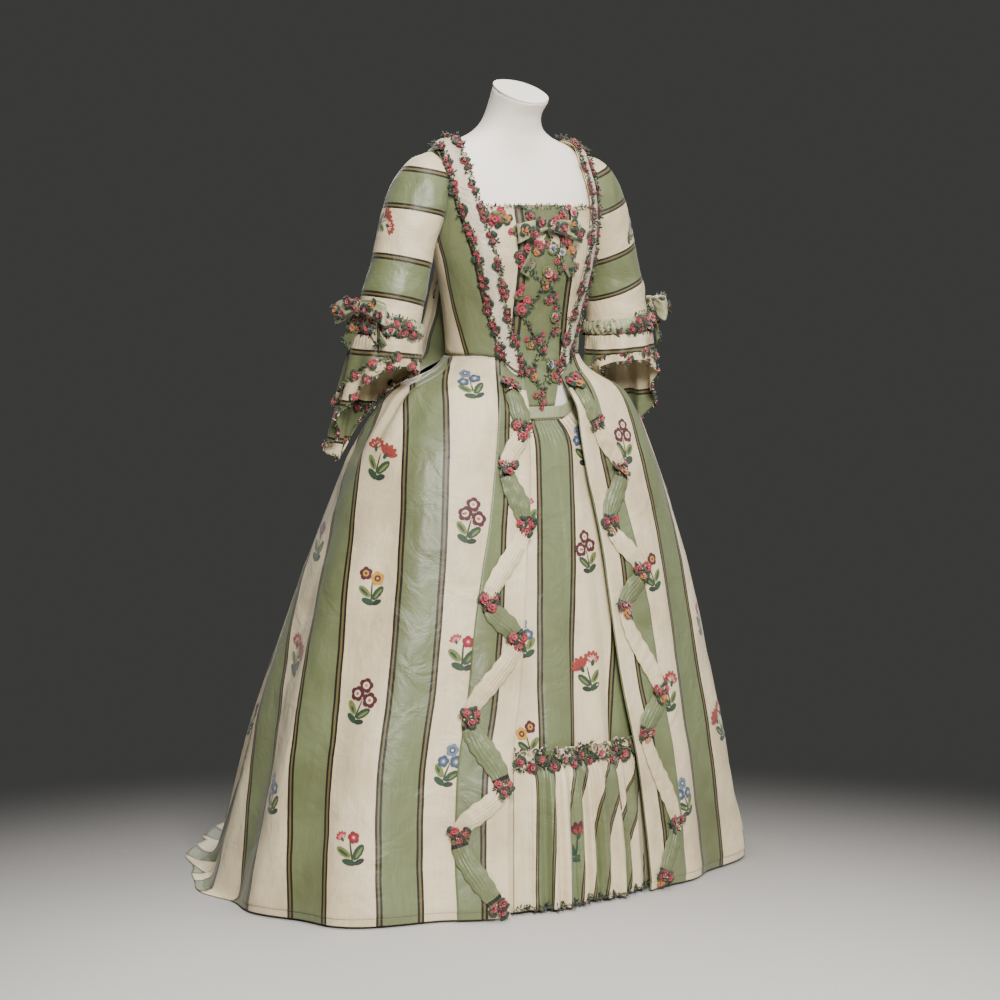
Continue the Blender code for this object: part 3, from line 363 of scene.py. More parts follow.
@dataclass(frozen=True)
class FormCover:
    """Moulded fibreglass under off-white paint: smooth and matt, with a very faint mottle."""

    name: str = "painted fibreglass form"
    colour: str = "fcf5e9"

    def make(self) -> bpy.types.Material:
        """Returns the material."""
        made, shader = new_material(self.name)
        tree = made.node_tree
        where = add_node(tree, "ShaderNodeTexCoord")
        mottle = add_node(tree, "ShaderNodeTexNoise", {"Scale": 9.0, "Detail": 5.0},
                          {"Vector": where.outputs["Object"]})
        tone = add_node(tree, "ShaderNodeValToRGB", links={0: mottle.outputs[0]})
        base = np.array(linear(self.colour))
        set_ramp(tone, ((0.3, tuple(base * (0.955, 0.95, 0.94, 1))), (0.7, tuple(base))))
        fine = add_node(tree, "ShaderNodeTexNoise", {"Scale": 420.0, "Detail": 3.0},
                        {"Vector": where.outputs["Object"]})
        bump = add_node(tree, "ShaderNodeBump", {"Strength": 0.06, "Distance": 0.0008},
                        {"Height": fine.outputs[0]})
        tree.links.new(tone.outputs[0], shader.inputs["Base Color"])
        tree.links.new(bump.outputs[0], shader.inputs["Normal"])
        shader.inputs["Roughness"].default_value = 0.58
        return made


@dataclass(frozen=True)
class PaintedSteel:
    """Mild steel under satin grey paint, worn a little lighter in patches."""

    name: str = "painted steel stand"
    colour: str = "55565a"

    def make(self) -> bpy.types.Material:
        """Returns the material."""
        made, shader = new_material(self.name)
        tree = made.node_tree
        where = add_node(tree, "ShaderNodeTexCoord")
        wear = add_node(tree, "ShaderNodeTexNoise", {"Scale": 60.0, "Detail": 6.0},
                        {"Vector": where.outputs["Object"]})
        tone = add_node(tree, "ShaderNodeValToRGB", links={0: wear.outputs[0]})
        base = np.array(linear(self.colour))
        set_ramp(tone, ((0.4, tuple(base)), (0.75, tuple(np.minimum(base * 1.5, 1.0)))))
        tree.links.new(tone.outputs[0], shader.inputs["Base Color"])
        shader.inputs["Roughness"].default_value = 0.42
        return made


# ---------------------------------------------------------------- cloth


class Held(Enum):
    """How a sheet of cloth is held."""

    DRAPED = "draped"
    GATHERED = "gathered"
    STRETCHED = "stretched"
    FOLDED = "folded"
    HUNG = "hung"


class StripeRun(Enum):
    """Which way the stripes run on a piece."""

    DOWN_PIECE = "down the piece"
    ROUND_PIECE = "round the piece"


class Spot(NamedTuple):
    """A place on a cloth, with the directions along it and out of it."""

    point: Point
    across: Point
    up: Point
    out: Point


@dataclass
class Cloth:
    """A sheet of cloth as a grid of points, row by row from its top edge."""

    name: str
    points: np.ndarray
    closed: bool = False
    keep: Optional[np.ndarray] = None
    zero: int = 0
    inward: bool = False

    def finer(self, down: int, across: int) -> "Cloth":
        """Returns the same sheet with each cell cut into down by across, on smooth curves."""
        points = self._fine_axis(self.points, down, False)
        points = self._fine_axis(points.transpose(1, 0, 2), across, self.closed).transpose(1, 0, 2)
        keep = None if self.keep is None else self.keep.repeat(down, 0).repeat(across, 1)
        return Cloth(self.name, points, self.closed, keep, self.zero * across, self.inward)

    @staticmethod
    def _fine_axis(points: np.ndarray, parts: int, closed: bool) -> np.ndarray:
        """Returns the points with parts steps for each one along the first axis."""
        if closed:
            padded = np.concatenate([points[-1:], points, points[:2]])
        else:
            padded = np.concatenate([2 * points[:1] - points[1:2], points,
                                     2 * points[-1:] - points[-2:-1]])
        a, b, c, d = padded[:-3], padded[1:-2], padded[2:-1], padded[3:]
        made = []
        for t in np.arange(parts) / parts:
            made.append(0.5 * (2 * b + (c - a) * t + (2 * a - 5 * b + 4 * c - d) * t ** 2
                               + (3 * b - a - 3 * c + d) * t ** 3))
        woven = np.stack(made, 1).reshape(-1, *points.shape[1:])
        return woven if closed else np.concatenate([woven, points[-1:]])

    def normals(self) -> np.ndarray:
        """Returns the outward direction at each point."""
        p = self.points
        if self.closed:
            beside = np.roll(p, -1, 1) - np.roll(p, 1, 1)
        else:
            beside = np.gradient(p, axis=1)
        found = np.cross(beside, np.gradient(p, axis=0))
        found /= np.maximum(np.linalg.norm(found, axis=2, keepdims=True), 1e-12)
        centre = p.mean(1, keepdims=True) if self.closed else np.zeros(3)
        away = (p - centre) * (1, 1, 0)
        if ((found * away).sum() < 0) != self.inward:
            found = -found
        return found

    def pushed(self, amount: float | np.ndarray) -> "Cloth":
        """Returns the sheet moved out by an amount, one for all or one for each point."""
        amount = np.asarray(amount, float)
        if amount.ndim:
            amount = amount[..., None]
        moved = self.points + self.normals() * amount
        return Cloth(self.name, moved, self.closed, self.keep, self.zero, self.inward)

    def arcs(self) -> np.ndarray:
        """Returns each point's length along its row from the zero column; one more when closed."""
        p = self.around()
        steps = np.linalg.norm(np.diff(p, axis=1), axis=2)
        arcs = np.concatenate([np.zeros((len(p), 1)), np.cumsum(steps, axis=1)], axis=1)
        return arcs - arcs[:, self.zero:self.zero + 1]

    def drops(self) -> np.ndarray:
        """Returns each point's length down its column from the top edge."""
        steps = np.linalg.norm(np.diff(self.points, axis=0), axis=2)
        drops = np.concatenate([np.zeros((1, steps.shape[1])), np.cumsum(steps, axis=0)])
        return np.concatenate([drops, drops[:, :1]], 1) if self.closed else drops

    def row_at(self, arc: float, height: float) -> float:
        """Returns how many rows down the line at this length reaches the height."""
        arcs, around = self.arcs(), self.around()
        heights = np.array([np.interp(arc, arcs[j], around[j, :, 2]) for j in range(len(arcs))])
        return float(np.interp(-height, -heights, np.arange(len(heights))))

    def around(self) -> np.ndarray:
        """Returns the points, with the first column again after the last where it is closed."""
        return np.concatenate([self.points, self.points[:, :1]], 1) if self.closed else self.points

    def on(self, arcs: np.ndarray, row: float, arc: float) -> Point:
        """Returns the point at a length along a row that may lie between two."""
        row = min(max(row, 0.0), len(self.points) - 1.0)
        low = min(int(row), len(self.points) - 2)
        around = self.around()[low:low + 2]
        ends = [np.array([np.interp(arc, arcs[low + j], around[j, :, axis]) for axis in range(3)])
                for j in (0, 1)]
        return ends[0] + (ends[1] - ends[0]) * (row - low)

    def spot(self, row: float, arc: float, arcs: Optional[np.ndarray] = None) -> Spot:
        """Returns the place at a row and a length along it.

        Args:
            row: Rows down from the top edge, which may be a fraction.
            arc: Length from the zero column.
            arcs: The sheet's own lengths, where the caller has them.
        """
        arcs = self.arcs() if arcs is None else arcs
        point = self.on(arcs, row, arc)
        across = unit(self.on(arcs, row, arc + 0.004) - self.on(arcs, row, arc - 0.004))
        up = self.on(arcs, row - 0.5, arc) - self.on(arcs, row + 0.5, arc)
        up = unit(up - across * float(up @ across))
        out = np.cross(across, up)
        if out @ (point * (1, 1, 0)) < 0:
            out = -out
        return Spot(point, across, up, out)

    def build(self, finish: bpy.types.Material, node: str, wall: float = 0.0009,
              stripes: StripeRun = StripeRun.DOWN_PIECE, lean: float = 0.0, spread: float = 1.0,
              places: Optional[np.ndarray] = None) -> bpy.types.Object:
        """Makes the piece that replaces a node of the part.

        Args:
            finish: Its material.
            node: The node it stands for.
            wall: Its thickness.
            stripes: Which way the stripes run.
            lean: How far the stripes lean for each metre of height.
            spread: How much the repeat is narrowed.
            places: The place in the repeat of each row, or of each point, where the stripes run
                round the piece unevenly.
        """
        rows, columns = self.points.shape[:2]
        arcs, drops = self.arcs() * spread, self.drops()
        if lean:
            heights = self.points[..., 2]
            if self.closed:
                heights = np.concatenate([heights, heights[:, :1]], 1)
            arcs = arcs + lean * (LEAN_FROM - heights)
        if places is not None:
            arcs, drops = np.broadcast_to(places if places.ndim > 1 else places[:, None],
                                          drops.shape), arcs
        elif stripes is StripeRun.ROUND_PIECE:
            arcs, drops = drops, arcs
        span = columns if self.closed else columns - 1
        flip = self._faces_in()
        faces, uvs = [], []
        for j in range(rows - 1):
            for i in range(span):
                if self.keep is not None and not self.keep[j, i]:
                    continue
                k = (i + 1) % columns
                face = [j * columns + i, j * columns + k, (j + 1) * columns + k, (j + 1) * columns + i]
                corner = [(arcs[j, i], drops[j, i]), (arcs[j, i + 1], drops[j, i + 1]),
                          (arcs[j + 1, i + 1], drops[j + 1, i + 1]), (arcs[j + 1, i], drops[j + 1, i])]
                faces.append(face[::-1] if flip else face)
                uvs += corner[::-1] if flip else corner
        used, index = np.unique(np.array(faces), return_inverse=True)
        mesh = bpy.data.meshes.new(self.name)
        mesh.from_pydata(self.points.reshape(-1, 3)[used].tolist(), [],
                         index.reshape(-1, 4).tolist())
        layer = mesh.uv_layers.new(name="cloth")
        layer.data.foreach_set("uv", np.array(uvs, np.float32).ravel())
        piece = place_piece(self.name, mesh, finish)
        add_wall(piece, wall)
        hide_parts(node)
        return piece

    def _faces_in(self) -> bool:
        """Tells whether faces made in grid order would point inwards."""
        p = self.points
        beside = np.roll(p, -1, 1) - p if self.closed else np.gradient(p, axis=1)
        return bool((np.cross(beside, np.gradient(p, axis=0)) * self.normals()).sum() < 0)

    def declare(self, piece: bpy.types.Object, held: Held, rests_on: Sequence[str],
                with_pieces: Sequence = ()) -> None:
        """Takes the piece, how it is held, what it rests on and the pieces sewn on it, and does nothing
        with them.
        """


def place_piece(name: str, mesh: bpy.types.Mesh, finish: bpy.types.Material) -> bpy.types.Object:
    """Puts a mesh in the scene as a smooth piece that rides on the part."""
    mesh.materials.append(finish)
    mesh.shade_smooth()
    piece = bpy.data.objects.new(name, mesh)
    bpy.context.scene.collection.objects.link(piece)
    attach(piece, BODY)
    return piece


def add_wall(piece: bpy.types.Object, wall: float) -> None:
    """Gives a piece its thickness, half to each side."""
    solid = piece.modifiers.new("wall", "SOLIDIFY")
    solid.thickness = wall
    solid.offset = 0.0
    solid.use_quality_normals = True


def rumple(points: np.ndarray, stretch: Sequence[float], seed: float) -> np.ndarray:
    """Returns soft noise from -1 to 1 at each point of a grid.

    Args:
        points: The grid.
        stretch: Waves for each metre along X, Y and Z.
        seed: Where in the noise to read.
    """
    scaled = points.reshape(-1, 3) * np.asarray(stretch) + seed
    values = [noise.noise(Vector(p)) for p in scaled]
    return np.array(values).reshape(points.shape[:2])


# ---------------------------------------------------------------- the body's shape


class TorsoSection(NamedTuple):
    """One level of the form: half its width, and how far its front and back lie along Y."""

    height: float
    half_width: float
    front: float
    back: float


TORSO = (
    TorsoSection(0.740, 0.150, -0.104, 0.124),
    TorsoSection(0.820, 0.156, -0.106, 0.128),
    TorsoSection(0.890, 0.142, -0.100, 0.111),
    TorsoSection(0.962, 0.122, -0.094, 0.088),
    TorsoSection(1.040, 0.130, -0.104, 0.090),
    TorsoSection(1.130, 0.148, -0.119, 0.098),
    TorsoSection(1.200, 0.160, -0.110, 0.103),
    TorsoSection(1.260, 0.167, -0.086, 0.103),
    TorsoSection(1.302, 0.163, -0.060, 0.090),
    TorsoSection(1.332, 0.128, -0.045, 0.077),
    TorsoSection(1.346, 0.086, -0.040, 0.065),
    TorsoSection(1.366, 0.058, -0.046, 0.053),
    TorsoSection(1.396, 0.048, -0.064, 0.038),
    TorsoSection(1.422, 0.047, -0.086, 0.022),
)
OVAL_POWER = 2.17
SEAM_TURN = 120.0
SIDE_WAIST, FRONT_WAIST = 0.955, 0.921
UNDERARM, STRAP_BEND = 1.160, 1.262
STRAP_END_TURN, SHOULDER_EASE = 101.0, 0.0018
# The armhole is an oval in the side view: its middle, and half its depth and height
ARMHOLE_MIDDLE, ARMHOLE_HALF = (0.011, 1.236), (0.050, 0.075)
CLOTH_WALL = 0.002

torso_at = smooth_through(
    [row.height for row in TORSO], columns_of(TORSO, "half_width", "front", "back")
)


def torso_point(side: int, turn: float, height: float, out: float = 0.0) -> Point:
    """Finds the form's surface at a ring angle and height, moved out along its normal.

    Args:
        side: LEFT or RIGHT.
        turn: Ring angle in degrees.
        height: Height above the floor.
        out: Distance off the surface.

    Returns:
        The point.
    """
    def surface(angle_turn: float, level: float) -> Point:
        """Returns the bare surface on the left side."""
        half_width, front, back = torso_at(level)
        angle = math.radians(angle_turn)
        along, away = math.sin(angle), math.cos(angle)
        share = 2 / OVAL_POWER
        x = half_width * math.copysign(abs(along) ** share, along)
        y = (front + back) / 2 - (back - front) / 2 * math.copysign(abs(away) ** share, away)
        return np.array([x, y, level])

    small = 0.002
    point = surface(turn, height)
    if out:
        across = surface(turn + 1.0, height) - surface(turn - 1.0, height)
        up = surface(turn, height + small) - surface(turn, height - small)
        point = point + out * unit(np.cross(across, up))
    return point * (side, 1, 1)


def torso_radius(turn: float, height: float) -> float:
    """Returns the distance of the form's surface from the upright axis."""
    half_width, front, back = torso_at(height)
    middle, half_depth = (front + back) / 2, (back - front) / 2
    angle = math.radians(turn)
    low, high = 0.0, 0.4
    for _ in range(32):
        radius = (low + high) / 2
        x = abs(radius * math.sin(angle)) / half_width
        y = abs(-radius * math.cos(angle) - middle) / half_depth
        if x ** OVAL_POWER + y ** OVAL_POWER < 1:
            low = radius
        else:
            high = radius
    return low


def turn_of_x(x: float, height: float) -> float:
    """Returns the ring angle, on the front half, where the surface is x from the middle."""
    share = min(x / torso_at(height)[0], 1.0)
    return math.degrees(math.asin(share ** (OVAL_POWER / 2)))


def height_of_x(x: float, turn: float) -> float:
    """Returns the height on the shoulder slope where the surface is x from the middle."""
    low, high = STRAP_BEND - 0.03, 1.345
    reach = math.sin(math.radians(turn)) ** (2 / OVAL_POWER)
    for _ in range(30):
        height = (low + high) / 2
        if torso_at(height)[0] * reach > x:
            low = height
        else:
            high = height
    return low


class GownSection(NamedTuple):
    """One level of the gown: its radii at the turns of GOWN_TURNS, some for each side."""

    height: float
    centre: float
    front_right: float
    front_left: float
    slant_right: float
    slant_left: float
    corner_right: float
    corner_left: float
    side: float
    hip: float
    quarter: float
    back: float


GOWN_TURNS = (0.0, 30.0, 50.0, 72.0, 92.0, 120.0, 150.0, 180.0)
GOWN = (
    GownSection(0.000, 0.278, 0.330, 0.292, 0.380, 0.345, 0.500, 0.442, 0.530, 0.542, 0.578, 0.640),
    GownSection(0.240, 0.252, 0.292, 0.268, 0.332, 0.316, 0.437, 0.402, 0.472, 0.482, 0.512, 0.545),
    GownSection(0.475, 0.212, 0.236, 0.232, 0.286, 0.284, 0.362, 0.352, 0.408, 0.410, 0.416, 0.432),
    GownSection(0.630, 0.187, 0.203, 0.203, 0.253, 0.252, 0.316, 0.312, 0.357, 0.352, 0.346, 0.366),
    GownSection(0.800, 0.150, 0.164, 0.162, 0.205, 0.204, 0.257, 0.256, 0.289, 0.278, 0.270, 0.296),
    GownSection(0.894, 0.132, 0.138, 0.138, 0.163, 0.163, 0.200, 0.200, 0.222, 0.206, 0.222, 0.245),
    GownSection(0.955, 0.106, 0.108, 0.108, 0.112, 0.112, 0.120, 0.120, 0.125, 0.1145, 0.193, 0.216),
)
gown_at = {
    side: smooth_through([row.height for row in GOWN], columns_of(
        GOWN, "centre", "front_" + word, "slant_" + word, "corner_" + word,
        "side", "hip", "quarter", "back"))
    for side, word in SIDES
}


class EdgeSection(NamedTuple):
    """Turn of each skirt's front edge at one height."""

    height: float
    right: float
    left: float


FRONT_EDGE = (
    EdgeSection(0.00, 32.2, 27.0),
    EdgeSection(0.10, 32.6, 27.5),
    EdgeSection(0.18, 33.0, 27.0),
    EdgeSection(0.27, 31.5, 25.0),
    EdgeSection(0.36, 29.0, 22.5),
    EdgeSection(0.45, 26.9, 21.5),
    EdgeSection(0.60, 24.1, 22.0),
    EdgeSection(0.75, 20.9, 20.5),
    EdgeSection(0.87, 19.5, 22.0),
    EdgeSection(0.93, 20.0, 24.0),
)
edge_at = smooth_through(
    [row.height for row in FRONT_EDGE], columns_of(FRONT_EDGE, "right", "left")
)


class Fold(NamedTuple):
    """An upright fold: its turn, its depth at the hem and its half width in degrees."""

    side: int
    turn: float
    depth: float
    width: float


SKIRT_FOLDS = (
    Fold(RIGHT, 50.0, -0.006, 5.5),
    Fold(RIGHT, 64.0, 0.008, 6.0),
    Fold(RIGHT, 77.0, -0.010, 4.5),
    Fold(RIGHT, 88.0, 0.012, 4.5),
    Fold(RIGHT, 98.0, -0.014, 4.5),
    Fold(RIGHT, 108.0, 0.010, 4.5),
    Fold(LEFT, 46.0, 0.007, 5.0),
    Fold(LEFT, 58.0, -0.010, 5.0),
    Fold(LEFT, 71.0, 0.012, 5.0),
    Fold(LEFT, 83.0, -0.014, 4.5),
    Fold(LEFT, 95.0, 0.012, 5.0),
    Fold(LEFT, 107.0, -0.010, 4.5),
)
HIP_PLEATS, HIP_PLEAT_DEPTH = 5, 0.005
HEM_CLEARANCE = 0.004


def gown_radius(side: int, turn: float, height: float) -> float:
    """Returns the gown's radius at a turn and height."""
    return float(smooth_through(GOWN_TURNS, gown_at[side](height))(turn)[0])


def front_edge(side: int, height: float) -> float:
    """Returns the turn of a skirt's front edge."""
    return float(edge_at(height)[0 if side == RIGHT else 1])


def seam_turn(radius: float, height: float) -> float:
    """Returns where the skirt and bodice stop short of the back's side seam."""
    gap = 0.0007 + 0.0021 * ease(0.86, 0.94, height)
    return SEAM_TURN - math.degrees(gap / radius)


def gown_waist(turn: float) -> float:
    """Returns the height of the waist seam, lower towards the front."""
    return FRONT_WAIST + (SIDE_WAIST - FRONT_WAIST) * ease(22.0, 50.0, turn)


def fold_push(folds: Sequence[Fold], side: int, turn: float) -> float:
    """Returns how far the folds push out at a turn, at their full depth."""
    return sum(fold.depth * math.exp(-(((turn - fold.turn) / fold.width) ** 2))
               for fold in folds if fold.side == side)


class TrainSection(NamedTuple):
    """How far the hem lies out along the floor at one turn."""

    turn: float
    reach: float


TRAIN = (
    TrainSection(0.0, 0.0),
    TrainSection(86.0, 0.0),
    TrainSection(103.0, 0.022),
    TrainSection(124.0, 0.046),
    TrainSection(151.0, 0.085),
    TrainSection(180.0, 0.130),
)
train_at = smooth_through([row.turn for row in TRAIN], columns_of(TRAIN, "reach"))


def floor_row(side: int, turn: float, radius: float, step: int) -> Point:
    """Returns the last points of a hem, hanging where there is no train and lying where there is."""
    reach = float(train_at(turn)[0])
    lying = ease(86, 102, turn)
    hanging = (0.030, 0.016, HEM_CLEARANCE)[step]
    on_floor = (0.018, 0.0, 0.0)[step]
    out = (0.002 * lying, 0.45 * reach + 0.006 * lying, reach + 0.006 * lying)[step]
    return polar(side, turn, radius + out, hanging * (1 - lying) + on_floor * lying)


# ---------------------------------------------------------------- flowers, fringe and brocade


class Dye(Enum):
    """Dyes of the floss and ribbon flowers."""

    ROSE = "a83643"
    DEEP_ROSE = "8a1f2e"
    PALE_ROSE = "e9b3a8"
    PINK = "c76a68"
    ORANGE = "b05e26"
    YELLOW = "c0902f"
    CREAM = "e0d3b8"
    MAROON = "4e1420"
    CORAL = "933a2c"
    BLUE = "3d4f66"
    SLATE = "66788c"
    LEAF = "26422a"
    OLIVE = "6f7a3c"
    MOSS = "1d2f20"
    BROWN = "4a2f1c"


class Face(NamedTuple):
    """One flat colour shape of a woven sprig, in millimetres about the sprig's middle."""

    x: float
    y: float
    length: float
    width: float
    turn: float
    dye: Dye


class Sprig(Enum):
    """The kinds of flower sprig that repeat down the cream stripes."""

    AURICULA = "auricula"
    BLUEBELL = "bluebell"
    CARNATION = "carnation"
    PANSY = "pansy"
    ROSEBUD = "rosebud"
    TULIP = "tulip"


def round_flower(x: float, y: float, size: float, rim: Dye, ring: Dye, eye: Dye) -> tuple[Face, ...]:
    """Returns a flower seen full face: a lobed rim, a ring and an eye."""
    lobes = tuple(
        Face(x + 0.27 * size * math.cos(a), y + 0.27 * size * math.sin(a), 0.52 * size, 0.52 * size,
             0.0, rim)
        for a in (0.3, 1.55, 2.8, 4.05, 5.3)
    )
    return lobes + (Face(x, y, 0.50 * size, 0.50 * size, 0.0, ring),
                    Face(x, y, 0.22 * size, 0.22 * size, 0.0, eye))


def fan_flower(x: float, y: float, size: float, turn: float, rim: Dye, base: Dye) -> tuple[Face, ...]:
    """Returns a flower seen from the side: a fan of petals on a green cup."""
    petals = []
    for spread in (-58, -30, 0, 30, 58):
        a = math.radians(90 + turn + spread)
        petals.append(Face(x + 0.30 * size * math.cos(a), y + 0.30 * size * math.sin(a),
                           0.62 * size, 0.27 * size, turn + spread, rim))
        petals.append(Face(x + 0.20 * size * math.cos(a), y + 0.20 * size * math.sin(a),
                           0.34 * size, 0.13 * size, turn + spread, base))
    return (*petals, Face(x, y - 0.06 * size, 0.34 * size, 0.20 * size, turn, Dye.LEAF))


def leaf_pair(x: float, y: float, size: float) -> tuple[Face, ...]:
    """Returns a stem with a leaf to each side."""
    return (Face(x, y, size, 0.07 * size, 4.0, Dye.LEAF),
            Face(x - 0.24 * size, y - 0.02 * size, 0.66 * size, 0.30 * size, 42.0, Dye.LEAF),
            Face(x - 0.26 * size, y - 0.04 * size, 0.46 * size, 0.10 * size, 42.0, Dye.OLIVE),
            Face(x + 0.27 * size, y + 0.06 * size, 0.60 * size, 0.28 * size, -46.0, Dye.OLIVE),
            Face(x + 0.28 * size, y + 0.05 * size, 0.42 * size, 0.10 * size, -46.0, Dye.LEAF),
            Face(x + 0.15 * size, y - 0.32 * size, 0.52 * size, 0.24 * size, -66.0, Dye.LEAF),
            Face(x - 0.20 * size, y - 0.36 * size, 0.40 * size, 0.20 * size, 70.0, Dye.MOSS))


SPRIGS = {
    Sprig.AURICULA: leaf_pair(1, -14, 38) + round_flower(-11, 6, 22, Dye.MAROON, Dye.CREAM, Dye.ORANGE)
    + round_flower(10, 9, 21, Dye.MAROON, Dye.CREAM, Dye.ORANGE)
    + round_flower(1, 24, 21, Dye.MAROON, Dye.CREAM, Dye.YELLOW),
    Sprig.BLUEBELL: leaf_pair(0, -12, 38) + round_flower(-9, 8, 18, Dye.BLUE, Dye.SLATE, Dye.CREAM)
    + round_flower(9, 4, 17, Dye.BLUE, Dye.SLATE, Dye.CREAM)
    + round_flower(2, 22, 18, Dye.SLATE, Dye.BLUE, Dye.CREAM),
    Sprig.CARNATION: leaf_pair(0, -14, 40) + fan_flower(-10, 4, 32, 26, Dye.CORAL, Dye.DEEP_ROSE)
    + fan_flower(9, 11, 30, -18, Dye.CORAL, Dye.PALE_ROSE),
    Sprig.PANSY: leaf_pair(1, -13, 38) + round_flower(-8, 7, 20, Dye.YELLOW, Dye.MAROON, Dye.YELLOW)
    + round_flower(9, 15, 19, Dye.MAROON, Dye.YELLOW, Dye.BROWN),
    Sprig.ROSEBUD: leaf_pair(0, -12, 42) + round_flower(-8, 9, 17, Dye.DEEP_ROSE, Dye.ROSE, Dye.PALE_ROSE)
    + fan_flower(9, 10, 18, -20, Dye.ROSE, Dye.PALE_ROSE),
    Sprig.TULIP: leaf_pair(0, -16, 44) + fan_flower(0, 6, 34, 0, Dye.MAROON, Dye.CORAL),
}


@dataclass
class Trimming:
    """Small dyed shapes gathered into one mesh: petals, leaves, tufts or woven flowers."""

    name: str
    wall: float = 0.0
    points: list = field(default_factory=list)
    faces: list = field(default_factory=list)
    dyes: list = field(default_factory=list)

    def patch(self, grid: np.ndarray, near: Dye, far: Dye) -> None:
        """Adds a grid of points, dyed from its first row to its last.

        Args:
            grid: Rows by columns by 3.
            near: Dye of the first row.
            far: Dye of the last row.
        """
        start = len(self.points)
        rows, columns = grid.shape[:2]
        first, last = np.array(linear(near.value)), np.array(linear(far.value))
        for j in range(rows):
            for i in range(columns):
                self.points.append(grid[j, i])
                self.dyes.append(first + (last - first) * j / max(rows - 1, 1))
        for j in range(rows - 1):
            for i in range(columns - 1):
                a = start + j * columns + i
                self.faces.append((a, a + 1, a + columns + 1, a + columns))

    def petal(self, spot: Spot, turn: float, size: float, lean: float, dyes: tuple[Dye, Dye]) -> None:
        """Adds one cupped petal that grows out from a spot.

        Args:
            spot: Where its root is.
            turn: Direction in radians round the spot's normal.
            size: Its length.
            lean: Radians that it rises from the cloth.
            dyes: Dye of the root and of the tip.
        """
        along = spot.across * math.cos(turn) + spot.up * math.sin(turn)
        beside = spot.up * math.cos(turn) - spot.across * math.sin(turn)
        grid = np.empty((3, 3, 3))
        for j, reach in enumerate((0.08, 0.62, 1.0)):
            for i, part in enumerate((-1, 0, 1)):
                wide = (0.18, 0.52, 0.40)[j] * part
                flat = reach * math.cos(lean) * (1.0 if part == 0 or j < 2 else 0.90)
                rise = reach * math.sin(lean) + (0.10 if part and j else 0.0) + (0.08 if j == 1 else 0.0)
                grid[j, i] = spot.point + size * (along * flat + beside * wide + spot.out * rise)
        self.patch(grid, *dyes)

    def rose(self, spot: Spot, size: float, dyes: tuple[Dye, Dye], chance: random.Random) -> None:
        """Adds a ribbon rose of two rings of petals round a heart."""
        start = chance.uniform(0, ANY_TURN)
        for k in range(5):
            self.petal(spot, start + k * 1.257 + chance.uniform(-0.15, 0.15), size * 0.56,
                       chance.uniform(0.10, 0.35), dyes)
        lifted = spot._replace(point=spot.point + spot.out * size * 0.10)
        for k in range(4):
            self.petal(lifted, start + 0.6 + k * 1.57, size * 0.34, chance.uniform(0.8, 1.1),
                       (dyes[0], Dye.PINK if Dye.CREAM not in dyes else Dye.SLATE))
        heart = spot._replace(point=spot.point + spot.out * size * 0.20)
        for k in range(3):
            self.petal(heart, start + k * 2.09, size * 0.17, 0.5, (dyes[0], dyes[0]))

    def heading_rose(self, spot: Spot, k: int, sizes: tuple[float, float],
                     chance: random.Random) -> None:
        """Adds one rose of a ruched heading with its three leaves.

        Args:
            spot: Where it is sewn.
            k: Its number along the heading; every fourth is of a mixed dye, the rest are red.
            sizes: The least and the greatest size.
            chance: The source of its draws.
        """
        dyes = ROSE_DYES[k % len(ROSE_DYES)] if k % 4 == 0 else RED_DYES[k % len(RED_DYES)]
        self.rose(spot, chance.uniform(*sizes), dyes, chance)
        for _ in range(3):
            self.leaf(spot, chance.uniform(0, ANY_TURN), 0.013)

    def leaf(self, spot: Spot, turn: float, size: float, dye: Dye = Dye.LEAF) -> None:
        """Adds one small leaf."""
        self.petal(spot, turn, size, 0.18, (Dye.MOSS, dye))

    def tuft(self, spot: Spot, size: float, dye: Dye, chance: random.Random, strands: int = 5) -> None:
        """Adds a tuft of the fly fringe: short spindles of floss spread from a knot."""
        for _ in range(strands):
            turn, lean = chance.uniform(0, ANY_TURN), chance.uniform(0.15, 1.05)
            along = unit(spot.across * math.cos(turn) * math.cos(lean)
                         + spot.up * math.sin(turn) * math.cos(lean) + spot.out * math.sin(lean))
            side = unit(np.cross(along, spot.out + 0.01))
            other = np.cross(along, side)
            root, length = spot.point, size * chance.uniform(0.75, 1.1)
            start = len(self.points)
            self.points.append(root)
            for angle in (0.0, 2.094, 4.189):
                self.points.append(root + along * length * 0.72
                                   + (side * math.cos(angle) + other * math.sin(angle)) * length * 0.15)
            self.points.append(root + along * length)
            colour = np.array(linear(dye.value)) * chance.uniform(0.75, 1.2)
            self.dyes += [colour] * 5
            for k in range(3):
                a, b = start + 1 + k, start + 1 + (k + 1) % 3
                self.faces += [(start, b, a), (start + 4, a, b)]

    def fringe(self, spots: Iterable[Spot], size: float, dyes: Sequence[Dye],
               chance: random.Random) -> None:
        """Adds one tuft at each spot, in the dyes by turns."""
        for k, spot in enumerate(spots):
            self.tuft(spot, size, dyes[k % len(dyes)], chance)

